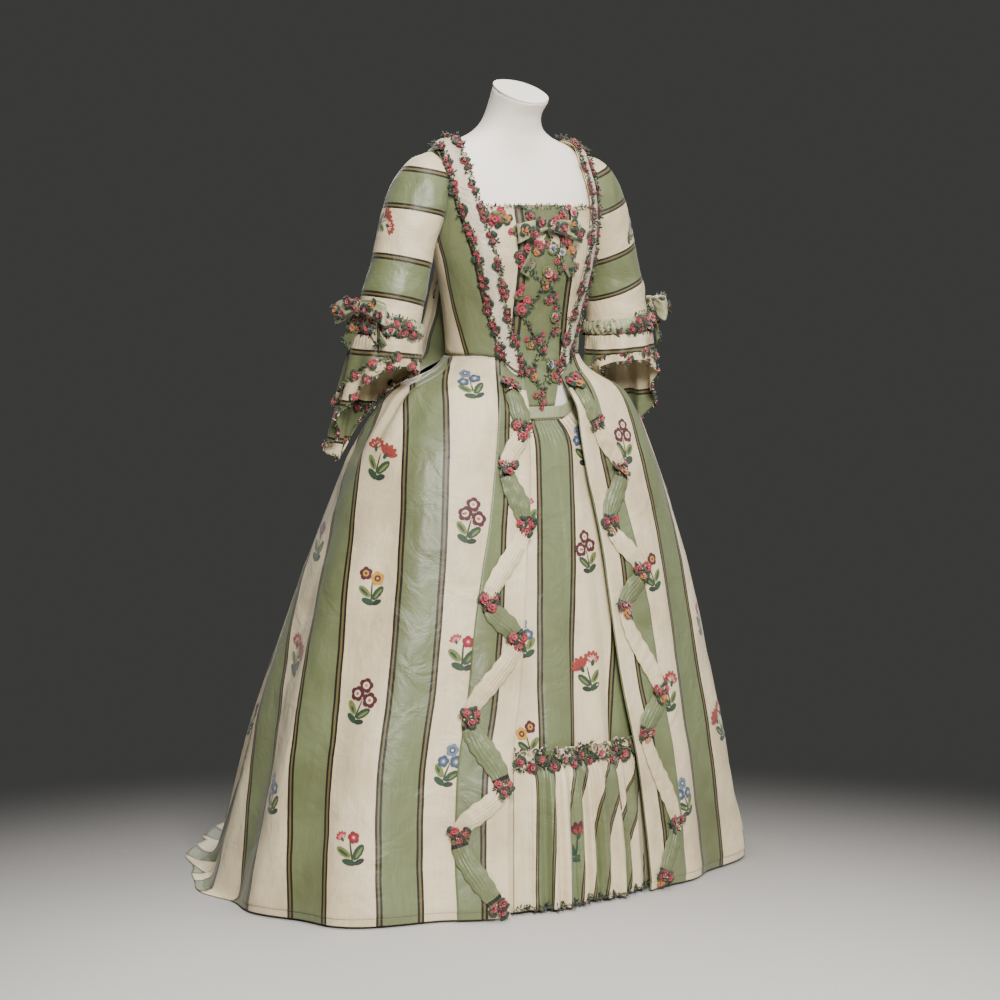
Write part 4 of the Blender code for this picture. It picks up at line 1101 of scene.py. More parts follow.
    def brocade(self, cloth: Cloth, arc: float, height: float, sprig: Sprig, scale: float = 1.0,
                turn: float = 0.0, lengths: Optional[np.ndarray] = None) -> None:
        """Adds a woven sprig that lies on the cloth's own surface.

        Args:
            cloth: The sheet that carries it.
            arc: Length along the row to the sprig's middle.
            height: Height of the middle above the floor.
            sprig: Its kind.
            scale: Its size against the drawn one.
            turn: Degrees that it is turned on the cloth.
            lengths: The sheet's own arcs, where the caller has them.
        """
        lengths = cloth.arcs() if lengths is None else lengths
        row = cloth.row_at(arc, height)
        middle = cloth.spot(row, arc, lengths)
        above = cloth.spot(row - 1.0, arc, lengths).point
        rows_each = 1.0 / max(float(np.linalg.norm(above - middle.point)), 1e-5)
        tilt = math.radians(turn)
        for layer, face in enumerate(SPRIGS[sprig]):
            start = len(self.points)
            angle = math.radians(face.turn)
            colour = np.array(linear(face.dye.value))
            rim = 10
            for k in range(rim + 1):
                around = 2 * math.pi * k / rim
                x = 0.0 if k == rim else 0.5 * face.width * math.cos(around)
                y = 0.0 if k == rim else 0.5 * face.length * math.sin(around)
                x, y = (x * math.cos(angle) - y * math.sin(angle) + face.x,
                        x * math.sin(angle) + y * math.cos(angle) + face.y)
                x, y = (0.001 * scale * (x * math.cos(tilt) - y * math.sin(tilt)),
                        0.001 * scale * (x * math.sin(tilt) + y * math.cos(tilt)))
                point = cloth.on(lengths, row - y * rows_each, arc + x)
                self.points.append(point + middle.out * (0.0009 + 0.00004 * layer))
                self.dyes.append(colour)
            self.faces += [(start + k, start + (k + 1) % rim, start + rim) for k in range(rim)]

    def build(self, finish: bpy.types.Material, slot: str) -> Optional[bpy.types.Object]:
        """Makes the piece, or nothing where no shape was added."""
        if not self.faces:
            return None
        mesh = bpy.data.meshes.new(self.name)
        mesh.from_pydata([tuple(p) for p in self.points], [], self.faces)
        dye = mesh.color_attributes.new("dye", "FLOAT_COLOR", "POINT")
        dye.data.foreach_set("color", np.clip(np.array(self.dyes), 0, 1).astype(np.float32).ravel())
        piece = place_piece(self.name, mesh, finish)
        if self.wall:
            add_wall(piece, self.wall)
        LOG.info("%s: %d faces", self.name, len(self.faces))
        return piece


# ---------------------------------------------------------------- the garment's pieces


@dataclass
class Wardrobe:
    """Every finish, made once and shared by the pieces."""

    floss: bpy.types.Material = field(init=False)
    cream: bpy.types.Material = field(init=False)
    pale_green: bpy.types.Material = field(init=False)
    form: bpy.types.Material = field(init=False)
    steel: bpy.types.Material = field(init=False)

    def __post_init__(self) -> None:
        """Makes the plain finishes."""
        self.floss = DyedFloss().make()
        self.cream = PlainSilk("cream silk taffeta", "d8ccb4", 0.46).make()
        self.pale_green = PlainSilk("pale green silk ribbon", "a5a985", 0.40).make()
        self.form = FormCover().make()
        self.steel = PaintedSteel().make()

    def sewn_on(self, flowers: Trimming, fringe: Trimming) -> list[Optional[bpy.types.Object]]:
        """Builds the flowers and the fly fringe of a piece, and returns both."""
        return [flowers.build(self.floss, "cream_silk"), fringe.build(self.floss, "pale_green_silk")]

    def striped(self, name: str, offset: float) -> bpy.types.Material:
        """Returns the striped silk with its repeat starting at this offset."""
        return StripedSilk(name, offset).make()


def fine_spots(cloth: Cloth, row: float, spacing: float, start: float = 0.0,
               end: Optional[float] = None) -> list[Spot]:
    """Returns spots at even steps along one row of a cloth.

    Args:
        cloth: The sheet.
        row: Its row.
        spacing: Distance from spot to spot.
        start: Length along the row where they begin.
        end: Length where they end, or None for the row's own end.
    """
    arcs = cloth.arcs()
    j = int(round(row))
    last = arcs[j, -1] if end is None else end
    return [cloth.spot(row, a, arcs) for a in np.arange(start, last, spacing)]


def column_spots(cloth: Cloth, column: int, spacing: float, skip: float = 0.0) -> list[Spot]:
    """Returns spots at even steps down one column of a cloth, from skip below its top edge."""
    normals = cloth.normals()[:, column]
    line = cloth.points[:, column]
    lengths = np.concatenate([[0.0], np.cumsum(np.linalg.norm(np.diff(line, axis=0), axis=1))])
    spots = []
    for at in np.arange(skip, lengths[-1], spacing):
        point = np.array([np.interp(at, lengths, line[:, k]) for k in range(3)])
        ahead = np.array([np.interp(at + 0.004, lengths, line[:, k]) for k in range(3)])
        behind = np.array([np.interp(at - 0.004, lengths, line[:, k]) for k in range(3)])
        out = np.array([np.interp(at, lengths, normals[:, k]) for k in range(3)])
        up = unit(behind - ahead)
        out = unit(out - up * float(out @ up))
        spots.append(Spot(point, np.cross(up, out), up, out))
    return spots


def lifted(spots: Iterable[Spot], out: float) -> list[Spot]:
    """Returns the spots moved out from their cloth."""
    return [spot._replace(point=spot.point + spot.out * out) for spot in spots]


FLY_DYES = (Dye.LEAF, Dye.MOSS, Dye.OLIVE, Dye.MOSS, Dye.PALE_ROSE, Dye.LEAF, Dye.CREAM)
DARK_DYES = (Dye.MOSS, Dye.LEAF, Dye.MOSS, Dye.MAROON, Dye.LEAF, Dye.MOSS, Dye.OLIVE)


@dataclass
class Skirt:
    """One gown skirt with its front band, winding ribbon, flowers and woven sprigs."""

    side: int
    word: str
    columns: int = 25
    top_out: float = 0.0036
    clear: float = 0.0016
    stripe_start: float = 0.0210
    stripe_spread: float = 0.94
    sprig_step: float = 0.216
    ribbon_width: float = 0.036
    joins: list = field(default_factory=list)
    heights_at: dict = field(default_factory=dict)
    sheet: Cloth = field(init=False)
    band: Cloth = field(init=False)
    ribbon: Cloth = field(init=False)

    def rows(self) -> np.ndarray:
        """Returns the inner side of the skirt, from its waist seam to its hem."""
        steps = (0.0, 0.028, 0.065, 0.12, 0.20, 0.32, 0.46, 0.61, 0.76, 0.90)
        side = self.side
        top_edge = front_edge(side, FRONT_WAIST)
        rows = []
        for step in steps:
            row = []
            for i in range(self.columns + 1):
                share = i / self.columns
                waist = gown_waist(top_edge + (SEAM_TURN - top_edge) * share)
                height = waist * (1 - step) + 0.03 * step
                first = front_edge(side, height)
                last = seam_turn(gown_radius(side, SEAM_TURN, height), height)
                turn = first + (last - first) * share
                stand = self.top_out + self.clear * (1 - ease(26.0, 36.0, turn))
                top = torso_radius(turn, waist) + stand
                radius = gown_radius(side, turn, height) + self.push(turn, height)
                radius += (top - radius) * (1 - ease(0.0, 0.05, step))
                row.append(polar(side, turn, radius, height))
            rows.append(row)
        first = front_edge(side, 0.02)
        last = seam_turn(gown_radius(side, SEAM_TURN, 0.0), 0.0)
        for step in range(3):
            row = []
            for i in range(self.columns + 1):
                turn = first + (last - first) * i / self.columns
                radius = gown_radius(side, turn, 0.0) + self.push(turn, 0.0)
                row.append(floor_row(side, turn, radius, step))
            rows.append(row)
        return np.array(rows)

    def push(self, turn: float, height: float) -> float:
        """Returns the outward push of the upright folds and of the hip pleats."""
        grown = 1 - ease(0.05, 0.80, height)
        pleated = ease(70, 80, turn) * (1 - ease(114, 119, turn))
        gathered = ease(0.70, 0.88, height) * (1 - ease(0.925, 0.95, height))
        wave = math.sin(math.radians((turn - 70) / 50 * 360 * HIP_PLEATS))
        upright = grown * fold_push(SKIRT_FOLDS, self.side, turn)
        return upright + HIP_PLEAT_DEPTH * pleated * gathered * wave

    def drape(self) -> None:
        """Hangs the skirt, then lays its band and ribbon on it."""
        sheet = Cloth("skirt_silk_" + self.word, self.rows()).finer(6, 5).pushed(CLOTH_WALL / 2)
        self.sheet = sheet.pushed(self.creases(sheet.points))
        self.sheet.name = sheet.name
        self.band = self.make_band()
        self.ribbon = self.make_ribbon()

    def creases(self, points: np.ndarray) -> np.ndarray:
        """Returns the small soft folds of handled silk: long ones down the cloth, short ones across."""
        down = rumple(points, (16, 16, 3.2), 3.0 + self.side)
        across = rumple(points, (9, 9, 22), 11.0 + self.side)
        fine = rumple(points, (42, 42, 9), 23.0 + self.side)
        heights = points[..., 2]
        edge = eased(0.0, 0.03, np.linspace(0, 1, points.shape[1]))[None, :]
        edge = edge * eased(0.0, 0.03, np.linspace(1, 0, points.shape[1]))[None, :]
        hem = eased(0.0, 0.05, heights) * (1 - eased(0.93, 0.955, heights) * 0.8)
        return (0.0036 * down + 0.0018 * across + 0.0013 * fine) * edge * hem

    def make_band(self) -> Cloth:
        """Returns the band down the front edge, just proud of the skirt."""
        width_at = smooth_through(
            (0.0, 0.10, 0.45, 0.58, 0.64, 0.87), (0.092, 0.094, 0.094, 0.086, 0.078, 0.060)
        )
        arcs = self.sheet.arcs()
        rows = []
        for j in range(6, len(self.sheet.points)):
            width = float(width_at(self.sheet.points[j, 0, 2])[0])
            row = [self.sheet.on(arcs, j, width * i / 20 + 0.0005) for i in range(21)]
            rows.append(row)
        band = Cloth("front_band_silk_" + self.word, np.array(rows))
        relief = 0.0009 * rumple(band.points, (60, 60, 14), 5.0) + 0.0006 * rumple(
            band.points, (24, 24, 70), 8.0)
        return band.pushed(0.0027 + relief)

    def bends(self) -> list[Bend]:
        """Returns this side's bends from the lowest up."""
        return [bend for bend in BENDS if bend.side == self.side][::-1]

    def make_ribbon(self) -> Cloth:
        """Returns the ribbon that winds down the band, full between its stitched bends."""
        bends = self.bends()
        inset_at = smooth_through([b.height for b in bends], [b.inset for b in bends])
        heights = np.linspace(bends[-1].height, bends[0].height, 401)
        path = np.array([[float(inset_at(h)[0]), h] for h in heights])
        lengths = np.concatenate([[0.0], np.cumsum(np.linalg.norm(np.diff(path, axis=0), axis=1))])
        joins = [float(np.interp(-b.height, -heights, lengths)) for b in bends[::-1]]
        arcs = self.sheet.arcs()
        steps, across = 300, 20
        rows, lifts = [], []
        for k in range(steps + 1):
            at = lengths[-1] * k / steps
            middle = np.array([np.interp(at, lengths, path[:, axis]) for axis in (0, 1)])
            near = [np.interp(at + s, lengths, path[:, axis]) for s in (-0.008, 0.008)
                    for axis in (0, 1)]
            ahead = unit(np.array(near[2:]) - np.array(near[:2]))
            beside = np.array([-ahead[1], ahead[0]])
            n = min(max(int(np.searchsorted(joins, at, side="right")) - 1, 0), len(joins) - 2)
            share = min(max((at - joins[n]) / (joins[n + 1] - joins[n]), 0.0), 1.0)
            full = math.sin(math.pi * share) ** 0.55
            width = self.ribbon_width * (0.60 + 0.40 * full)
            row, lift = [], []
            for i in range(across + 1):
                part = i / across - 0.5
                ripple = 0.06 * math.sin(at * 260 + (3 if part > 0 else 0)) * full
                inset, height = middle + beside * width * (part * (1 + ripple))
                height = max(height, 0.008)
                row.append(self.sheet.on(arcs, self.row_of(arcs, inset, height), inset))
                round_over = math.cos(math.pi * part)
                gather = math.sin(part * 38 + 2.0 * math.sin(at * 33 + n)) * (1.1 - 0.4 * full)
                lift.append(0.0052 + (0.0018 + 0.0046 * full) * round_over
                            + 0.0019 * gather * round_over)
            rows.append(row)
            lifts.append(lift)
        ribbon = Cloth("serpentine_silk_" + self.word, np.array(rows))
        puckers = rumple(ribbon.points, (95, 95, 60), 31.0 + self.side)
        self.joins = [j / lengths[-1] * steps for j in joins]
        return ribbon.pushed(np.array(lifts) + 0.0016 * puckers)

    def row_of(self, arcs: np.ndarray, arc: float, height: float) -> float:
        """Returns the skirt's row at a length and height, from lines kept every 4 mm."""
        step = 0.004
        low = math.floor(arc / step)

        def line(n: int) -> np.ndarray:
            """Returns the heights of the skirt's rows at one length."""
            if n not in self.heights_at:
                self.heights_at[n] = np.array([np.interp(n * step, arcs[j], self.sheet.points[j, :, 2])
                                               for j in range(len(arcs))])
            return self.heights_at[n]

        share = arc / step - low
        heights = line(low) * (1 - share) + line(low + 1) * share
        return float(np.interp(-height, -heights, np.arange(len(heights))))

    def ribbon_lengths(self) -> np.ndarray:
        """Returns the stripe place of each ribbon row, so that every bend falls on a border."""
        rows = np.arange(len(self.ribbon.points))
        places, at = [], 0.0
        for n in range(len(self.joins)):
            places.append(at)
            at += (2 * BORDER + GREEN_STRIPE) if n % 2 == 0 else CREAM_STRIPE
        return np.interp(rows, self.joins, places)

    def dress(self, wardrobe: Wardrobe) -> None:
        """Builds every piece of this side."""
        chance = random.Random(40 + self.side)
        silk = wardrobe.striped("striped silk of the skirt " + self.word, self.stripe_start)
        skirt = self.sheet.build(silk, "skirt_" + self.word, spread=self.stripe_spread)
        band_silk = wardrobe.striped("striped silk of the band " + self.word, CREAM_STRIPE - 0.040
                                     + 2 * BORDER + GREEN_STRIPE)
        band = self.band.build(band_silk, "front_band_" + self.word, wall=BAND_WALL)
        ribbon_silk = wardrobe.striped("striped silk of the ribbon " + self.word, 0.0)
        ribbon = self.ribbon.build(ribbon_silk, "serpentine_" + self.word, wall=0.0006,
                                   places=self.ribbon_lengths())
        sprigs = self.sprigs().build(wardrobe.floss, "striped_silk")
        flowers = self.flowers(chance).build(wardrobe.floss, "cream_silk")
        fringe = self.fringe(chance).build(wardrobe.floss, "pale_green_silk")
        self.sheet.declare(skirt, Held.GATHERED, ["petticoat_silk"], [sprigs])
        self.band.declare(band, Held.STRETCHED, [skirt.name])
        self.ribbon.declare(ribbon, Held.GATHERED, [band.name], [flowers, fringe])

    def sprigs(self) -> Trimming:
        """Returns the woven sprigs, in columns on the cream stripes."""
        made = Trimming("skirt_sprigs_" + self.word)
        arcs = self.sheet.arcs()
        columns = SPRIG_COLUMNS[self.side]
        centre = (STRIPE_REPEAT - CREAM_STRIPE / 2 - self.stripe_start) / self.stripe_spread
        for n in range(4):
            arc = centre + n * STRIPE_REPEAT / self.stripe_spread
            top, kinds = columns[n % len(columns)]
            if n == 0:
                arc += 0.004
            for k in range(6):
                height = top - k * self.sprig_step + (0.012 if (n + k) % 3 == 0 else -0.006)
                if not 0.05 < height < 0.93:
                    continue
                row = self.sheet.row_at(arc, height)
                if arc > arcs[int(row), -1] - 0.03:
                    continue
                made.brocade(self.sheet, arc, height, kinds[k % len(kinds)], GOWN_SPRIG,
                             (-12, 9, -5, 14)[(n + k) % 4], arcs)
        return made

    def flowers(self, chance: random.Random) -> Trimming:
        """Returns the ribbon roses and auriculas at the bends and on the way between them."""
        made = Trimming("serpentine_flowers_" + self.word, wall=FLOWER_WALL)
        arcs = self.ribbon.arcs()
        middle = float(arcs[0, -1]) / 2
        for n, join in enumerate(self.joins):
            here = self.ribbon.spot(join, middle, arcs)
            for k, (dx, dy) in enumerate(((-0.009, 0.004), (0.009, 0.006), (0.0, -0.010))):
                spot = here._replace(point=here.point + here.across * dx + here.up * dy
                                     + here.out * 0.002)
                dyes = (ROSE_DYES if k == 2 else RED_DYES)[(n * 3 + k * 2 + (self.side > 0)) % 3 + k // 2]
                made.rose(spot, chance.uniform(0.014, 0.019), dyes, chance)
                for turn in (chance.uniform(0, ANY_TURN), chance.uniform(0, ANY_TURN)):
                    made.leaf(spot, turn, 0.014)
        return made

    def fringe(self, chance: random.Random) -> Trimming:
        """Returns the knots of fly fringe that hold the ribbon at each join."""
        made = Trimming("serpentine_fringe_" + self.word)
        arcs = self.ribbon.arcs()
        width = float(arcs[0, -1])
        for join in self.joins:
            for k in range(9):
                row = join + chance.uniform(-2.2, 2.2)
                spot = self.ribbon.spot(row, width * (k + 0.5) / 9, arcs)
                made.tuft(spot, 0.0105, FLY_DYES[k % len(FLY_DYES)], chance, 6)
        return made


class Bend(NamedTuple):
    """A bend of the winding ribbon: its height and its distance from the skirt's front edge."""

    side: int
    height: float
    inset: float


BENDS = (
    Bend(RIGHT, 0.905, 0.036),
    Bend(RIGHT, 0.830, 0.017),
    Bend(RIGHT, 0.767, 0.048),
    Bend(RIGHT, 0.664, 0.008),
    Bend(RIGHT, 0.537, 0.072),
    Bend(RIGHT, 0.469, 0.016),
    Bend(RIGHT, 0.346, 0.086),
    Bend(RIGHT, 0.223, 0.016),
    Bend(RIGHT, 0.146, 0.088),
    Bend(RIGHT, 0.022, 0.022),
    Bend(LEFT, 0.905, 0.022),
    Bend(LEFT, 0.834, 0.040),
    Bend(LEFT, 0.752, 0.080),
    Bend(LEFT, 0.657, 0.028),
    Bend(LEFT, 0.570, 0.085),
    Bend(LEFT, 0.505, 0.030),
    Bend(LEFT, 0.351, 0.088),
    Bend(LEFT, 0.280, 0.030),
    Bend(LEFT, 0.114, 0.076),
    Bend(LEFT, 0.022, 0.030),
)

ROSE_DYES = (
    (Dye.DEEP_ROSE, Dye.ROSE), (Dye.ROSE, Dye.PALE_ROSE), (Dye.DEEP_ROSE, Dye.ROSE),
    (Dye.YELLOW, Dye.ORANGE), (Dye.ROSE, Dye.PALE_ROSE), (Dye.DEEP_ROSE, Dye.ROSE),
    (Dye.SLATE, Dye.CREAM),
)

RED_DYES = ((Dye.DEEP_ROSE, Dye.ROSE), (Dye.DEEP_ROSE, Dye.DEEP_ROSE), (Dye.ROSE, Dye.ROSE))

# For each side: the height of the top sprig of each column, and the kinds down it
SPRIG_COLUMNS = {
    RIGHT: (
        (0.899, (Sprig.BLUEBELL, Sprig.AURICULA, Sprig.ROSEBUD, Sprig.BLUEBELL, Sprig.TULIP)),
        (0.792, (Sprig.CARNATION, Sprig.PANSY, Sprig.AURICULA, Sprig.ROSEBUD, Sprig.CARNATION)),
        (0.640, (Sprig.TULIP, Sprig.CARNATION, Sprig.BLUEBELL, Sprig.PANSY)),
    ),
    LEFT: (
        (0.790, (Sprig.AURICULA, Sprig.PANSY, Sprig.CARNATION, Sprig.BLUEBELL)),
        (0.690, (Sprig.TULIP, Sprig.ROSEBUD, Sprig.CARNATION, Sprig.BLUEBELL)),
        (0.780, (Sprig.BLUEBELL, Sprig.CARNATION, Sprig.PANSY, Sprig.TULIP)),
    ),
}


class SackSection(NamedTuple):
    """How far the sack back stands off the form at its side seam, half way and centre."""

    height: float
    side: float
    half: float
    centre: float
    pleat: float


SACK = (
    SackSection(0.955, 0.0, 0.096, 0.1254, 0.009),
    SackSection(1.040, 0.0, 0.062, 0.0920, 0.009),
    SackSection(1.130, 0.0, 0.032, 0.0560, 0.008),
    SackSection(1.260, 0.0, 0.011, 0.0190, 0.006),
    SackSection(1.325, 0.0, 0.007, 0.0100, 0.004),
)
sack_at = smooth_through(
    [row.height for row in SACK], columns_of(SACK, "side", "half", "centre", "pleat")
)


class Pleat(NamedTuple):
    """A point across half the back: its share from the centre, and its lift above and below."""

    share: float
    lift: float
    swell: float


PLEATS = (
    Pleat(0.000, -1.0, -1.0),
    Pleat(0.035, -1.0, -0.8),
    Pleat(0.065, 1.0, 0.8),
    Pleat(0.170, 1.1, 1.2),
    Pleat(0.270, 1.0, 0.6),
    Pleat(0.300, -1.0, -0.9),
    Pleat(0.360, -1.0, -0.9),
    Pleat(0.390, 1.0, 0.6),
    Pleat(0.480, 1.1, 1.2),
    Pleat(0.570, 1.0, 0.3),
    Pleat(0.600, -0.4, -0.9),
    Pleat(0.700, 0.0, 0.6),
    Pleat(0.800, 0.0, 1.0),
    Pleat(0.900, 0.0, -0.6),
    Pleat(1.000, 0.0, 0.0),
)


@dataclass
class SackBack:
    """The back in one panel: box pleats from the neck that hang clear and spread into the train."""

    out: float = 0.0026
    swell: float = 0.010
    top: float = 1.325
    top_turn: float = 104.0
    stripe_start: float = 0.1205

    def radius(self, turn: float, share: float, height: float) -> float:
        """Returns the inner side of the panel without its pleats; share is 1 at the side seam."""
        if height <= SIDE_WAIST:
            return gown_radius(LEFT, turn, height)
        side, half, centre, _ = sack_at(height)
        off = float(smooth_through((0.0, 0.5, 1.0), (centre, half, side))(share)[0])
        return (torso_radius(turn, height) + self.out
                + SHOULDER_EASE * ease(1.24, 1.30, height) + off)

    def turn_at(self, share: float, height: float) -> float:
        """Returns the turn of a share of the panel."""
        seam = SEAM_TURN + (self.top_turn - SEAM_TURN) * ease(1.15, 1.31, height)
        return 180.0 - (180.0 - seam) * share

    def lift(self, pleat: Pleat, height: float) -> float:
        """Returns how far a pleat stands out at one height."""
        above = float(sack_at(max(height, SIDE_WAIST))[3])
        low = 1 - ease(0.15, 0.90, height)
        return above * (1 - low) * pleat.lift + self.swell * low * pleat.swell

    def drape(self) -> Cloth:
        """Returns the panel."""
        heights = (self.top, 1.308, 1.280, 1.235, 1.175, 1.105, 1.035, 0.985, 0.952, 0.925, 0.885,
                   0.80, 0.66, 0.47, 0.27, 0.10)
        columns = [(RIGHT, pleat) for pleat in reversed(PLEATS)]
        columns += [(LEFT, pleat) for pleat in PLEATS[1:]]
        rows = []
        for height in heights:
            row = []
            for side, pleat in columns:
                turn = self.turn_at(pleat.share, height)
                radius = self.radius(turn, pleat.share, height) + self.lift(pleat, height)
                row.append(polar(side, turn, radius, height))
            rows.append(row)
        for step in range(3):
            row = []
            for side, pleat in columns:
                turn = self.turn_at(pleat.share, 0.0)
                radius = self.radius(turn, pleat.share, 0.0) + self.lift(pleat, 0.0)
                row.append(floor_row(side, turn, radius, step))
            rows.append(row)
        sheet = Cloth("sack_back_silk", np.array(rows), zero=len(PLEATS) - 1).finer(5, 6)
        sheet = sheet.pushed(CLOTH_WALL / 2)
        points = sheet.points
        down = rumple(points, (15, 15, 2.6), 41.0)
        across = rumple(points, (8, 8, 20), 47.0)
        fine = rumple(points, (40, 40, 9), 53.0)
        hem = eased(0.0, 0.05, points[..., 2]) * (1 - 0.8 * eased(1.26, 1.32, points[..., 2]))
        sides = eased(0.0, 0.03, np.linspace(0, 1, points.shape[1]))
        sides = (sides * sides[::-1])[None, :]
        return sheet.pushed((0.0026 * down + 0.0010 * across + 0.0008 * fine) * hem * sides)

    def dress(self, wardrobe: Wardrobe) -> None:
        """Builds the panel and its sprigs."""
        sheet = self.drape()
        silk = wardrobe.striped("striped silk of the back", self.stripe_start)
        piece = sheet.build(silk, "sack_back")
        made = Trimming("sack_back_sprigs")
        arcs = sheet.arcs()
        centre = STRIPE_REPEAT - CREAM_STRIPE / 2 - self.stripe_start
        kinds = tuple(Sprig)
        for n in range(-4, 5):
            arc = centre + n * STRIPE_REPEAT
            for k in range(7):
                height = 1.20 - k * 0.205 - (0.10 if n % 2 else 0.0)
                if height < 0.06:
                    continue
                row = int(sheet.row_at(arc, height))
                if not arcs[row, 0] + 0.04 < arc < arcs[row, -1] - 0.04:
                    continue
                made.brocade(sheet, arc, height, kinds[(k * 2 + n) % len(kinds)], GOWN_SPRIG,
                             (-10, 12, 5)[(n + k) % 3], arcs)
        sprigs = made.build(wardrobe.floss, "striped_silk")
        sheet.declare(piece, Held.HUNG, ["bodice_front_silk_right", "petticoat_silk"], [sprigs])


class PetticoatSection(NamedTuple):
    """How far the petticoat lies inside the gown, and its own radii at the back."""

    height: float
    inset: float
    hip: float
    quarter: float
    back: float


PETTICOAT = (
    PetticoatSection(0.000, 0.027, 0.520, 0.510, 0.505),
    PetticoatSection(0.240, 0.022, 0.465, 0.452, 0.445),
    PetticoatSection(0.475, 0.018, 0.390, 0.365, 0.355),
    PetticoatSection(0.630, 0.016, 0.330, 0.305, 0.295),
    PetticoatSection(0.800, 0.014, 0.255, 0.225, 0.210),
    PetticoatSection(0.894, 0.012, 0.180, 0.152, 0.143),
    PetticoatSection(0.955, 0.006, 0.105, 0.100, 0.095),
)
petticoat_at = smooth_through(
    [row.height for row in PETTICOAT], columns_of(PETTICOAT, "inset", "hip", "quarter", "back")
)
PETTICOAT_FOLDS = (
    Fold(RIGHT, 22.0, -0.006, 4.0),
    Fold(RIGHT, 12.0, 0.004, 5.0),
    Fold(LEFT, 2.0, -0.003, 5.0),
    Fold(LEFT, 12.0, 0.006, 3.5),
    Fold(LEFT, 19.0, -0.009, 3.0),
    Fold(LEFT, 27.0, 0.006, 3.5),
)
# Heights of the waistband's middle at the front and at the side
FRONT_BAND, SIDE_BAND = 0.8565, 0.930


class FlounceRow(NamedTuple):
    """A row of the flounce: how far it hangs off the petticoat, and the depth of its waves."""

    height: float
    out: float
    wave: float


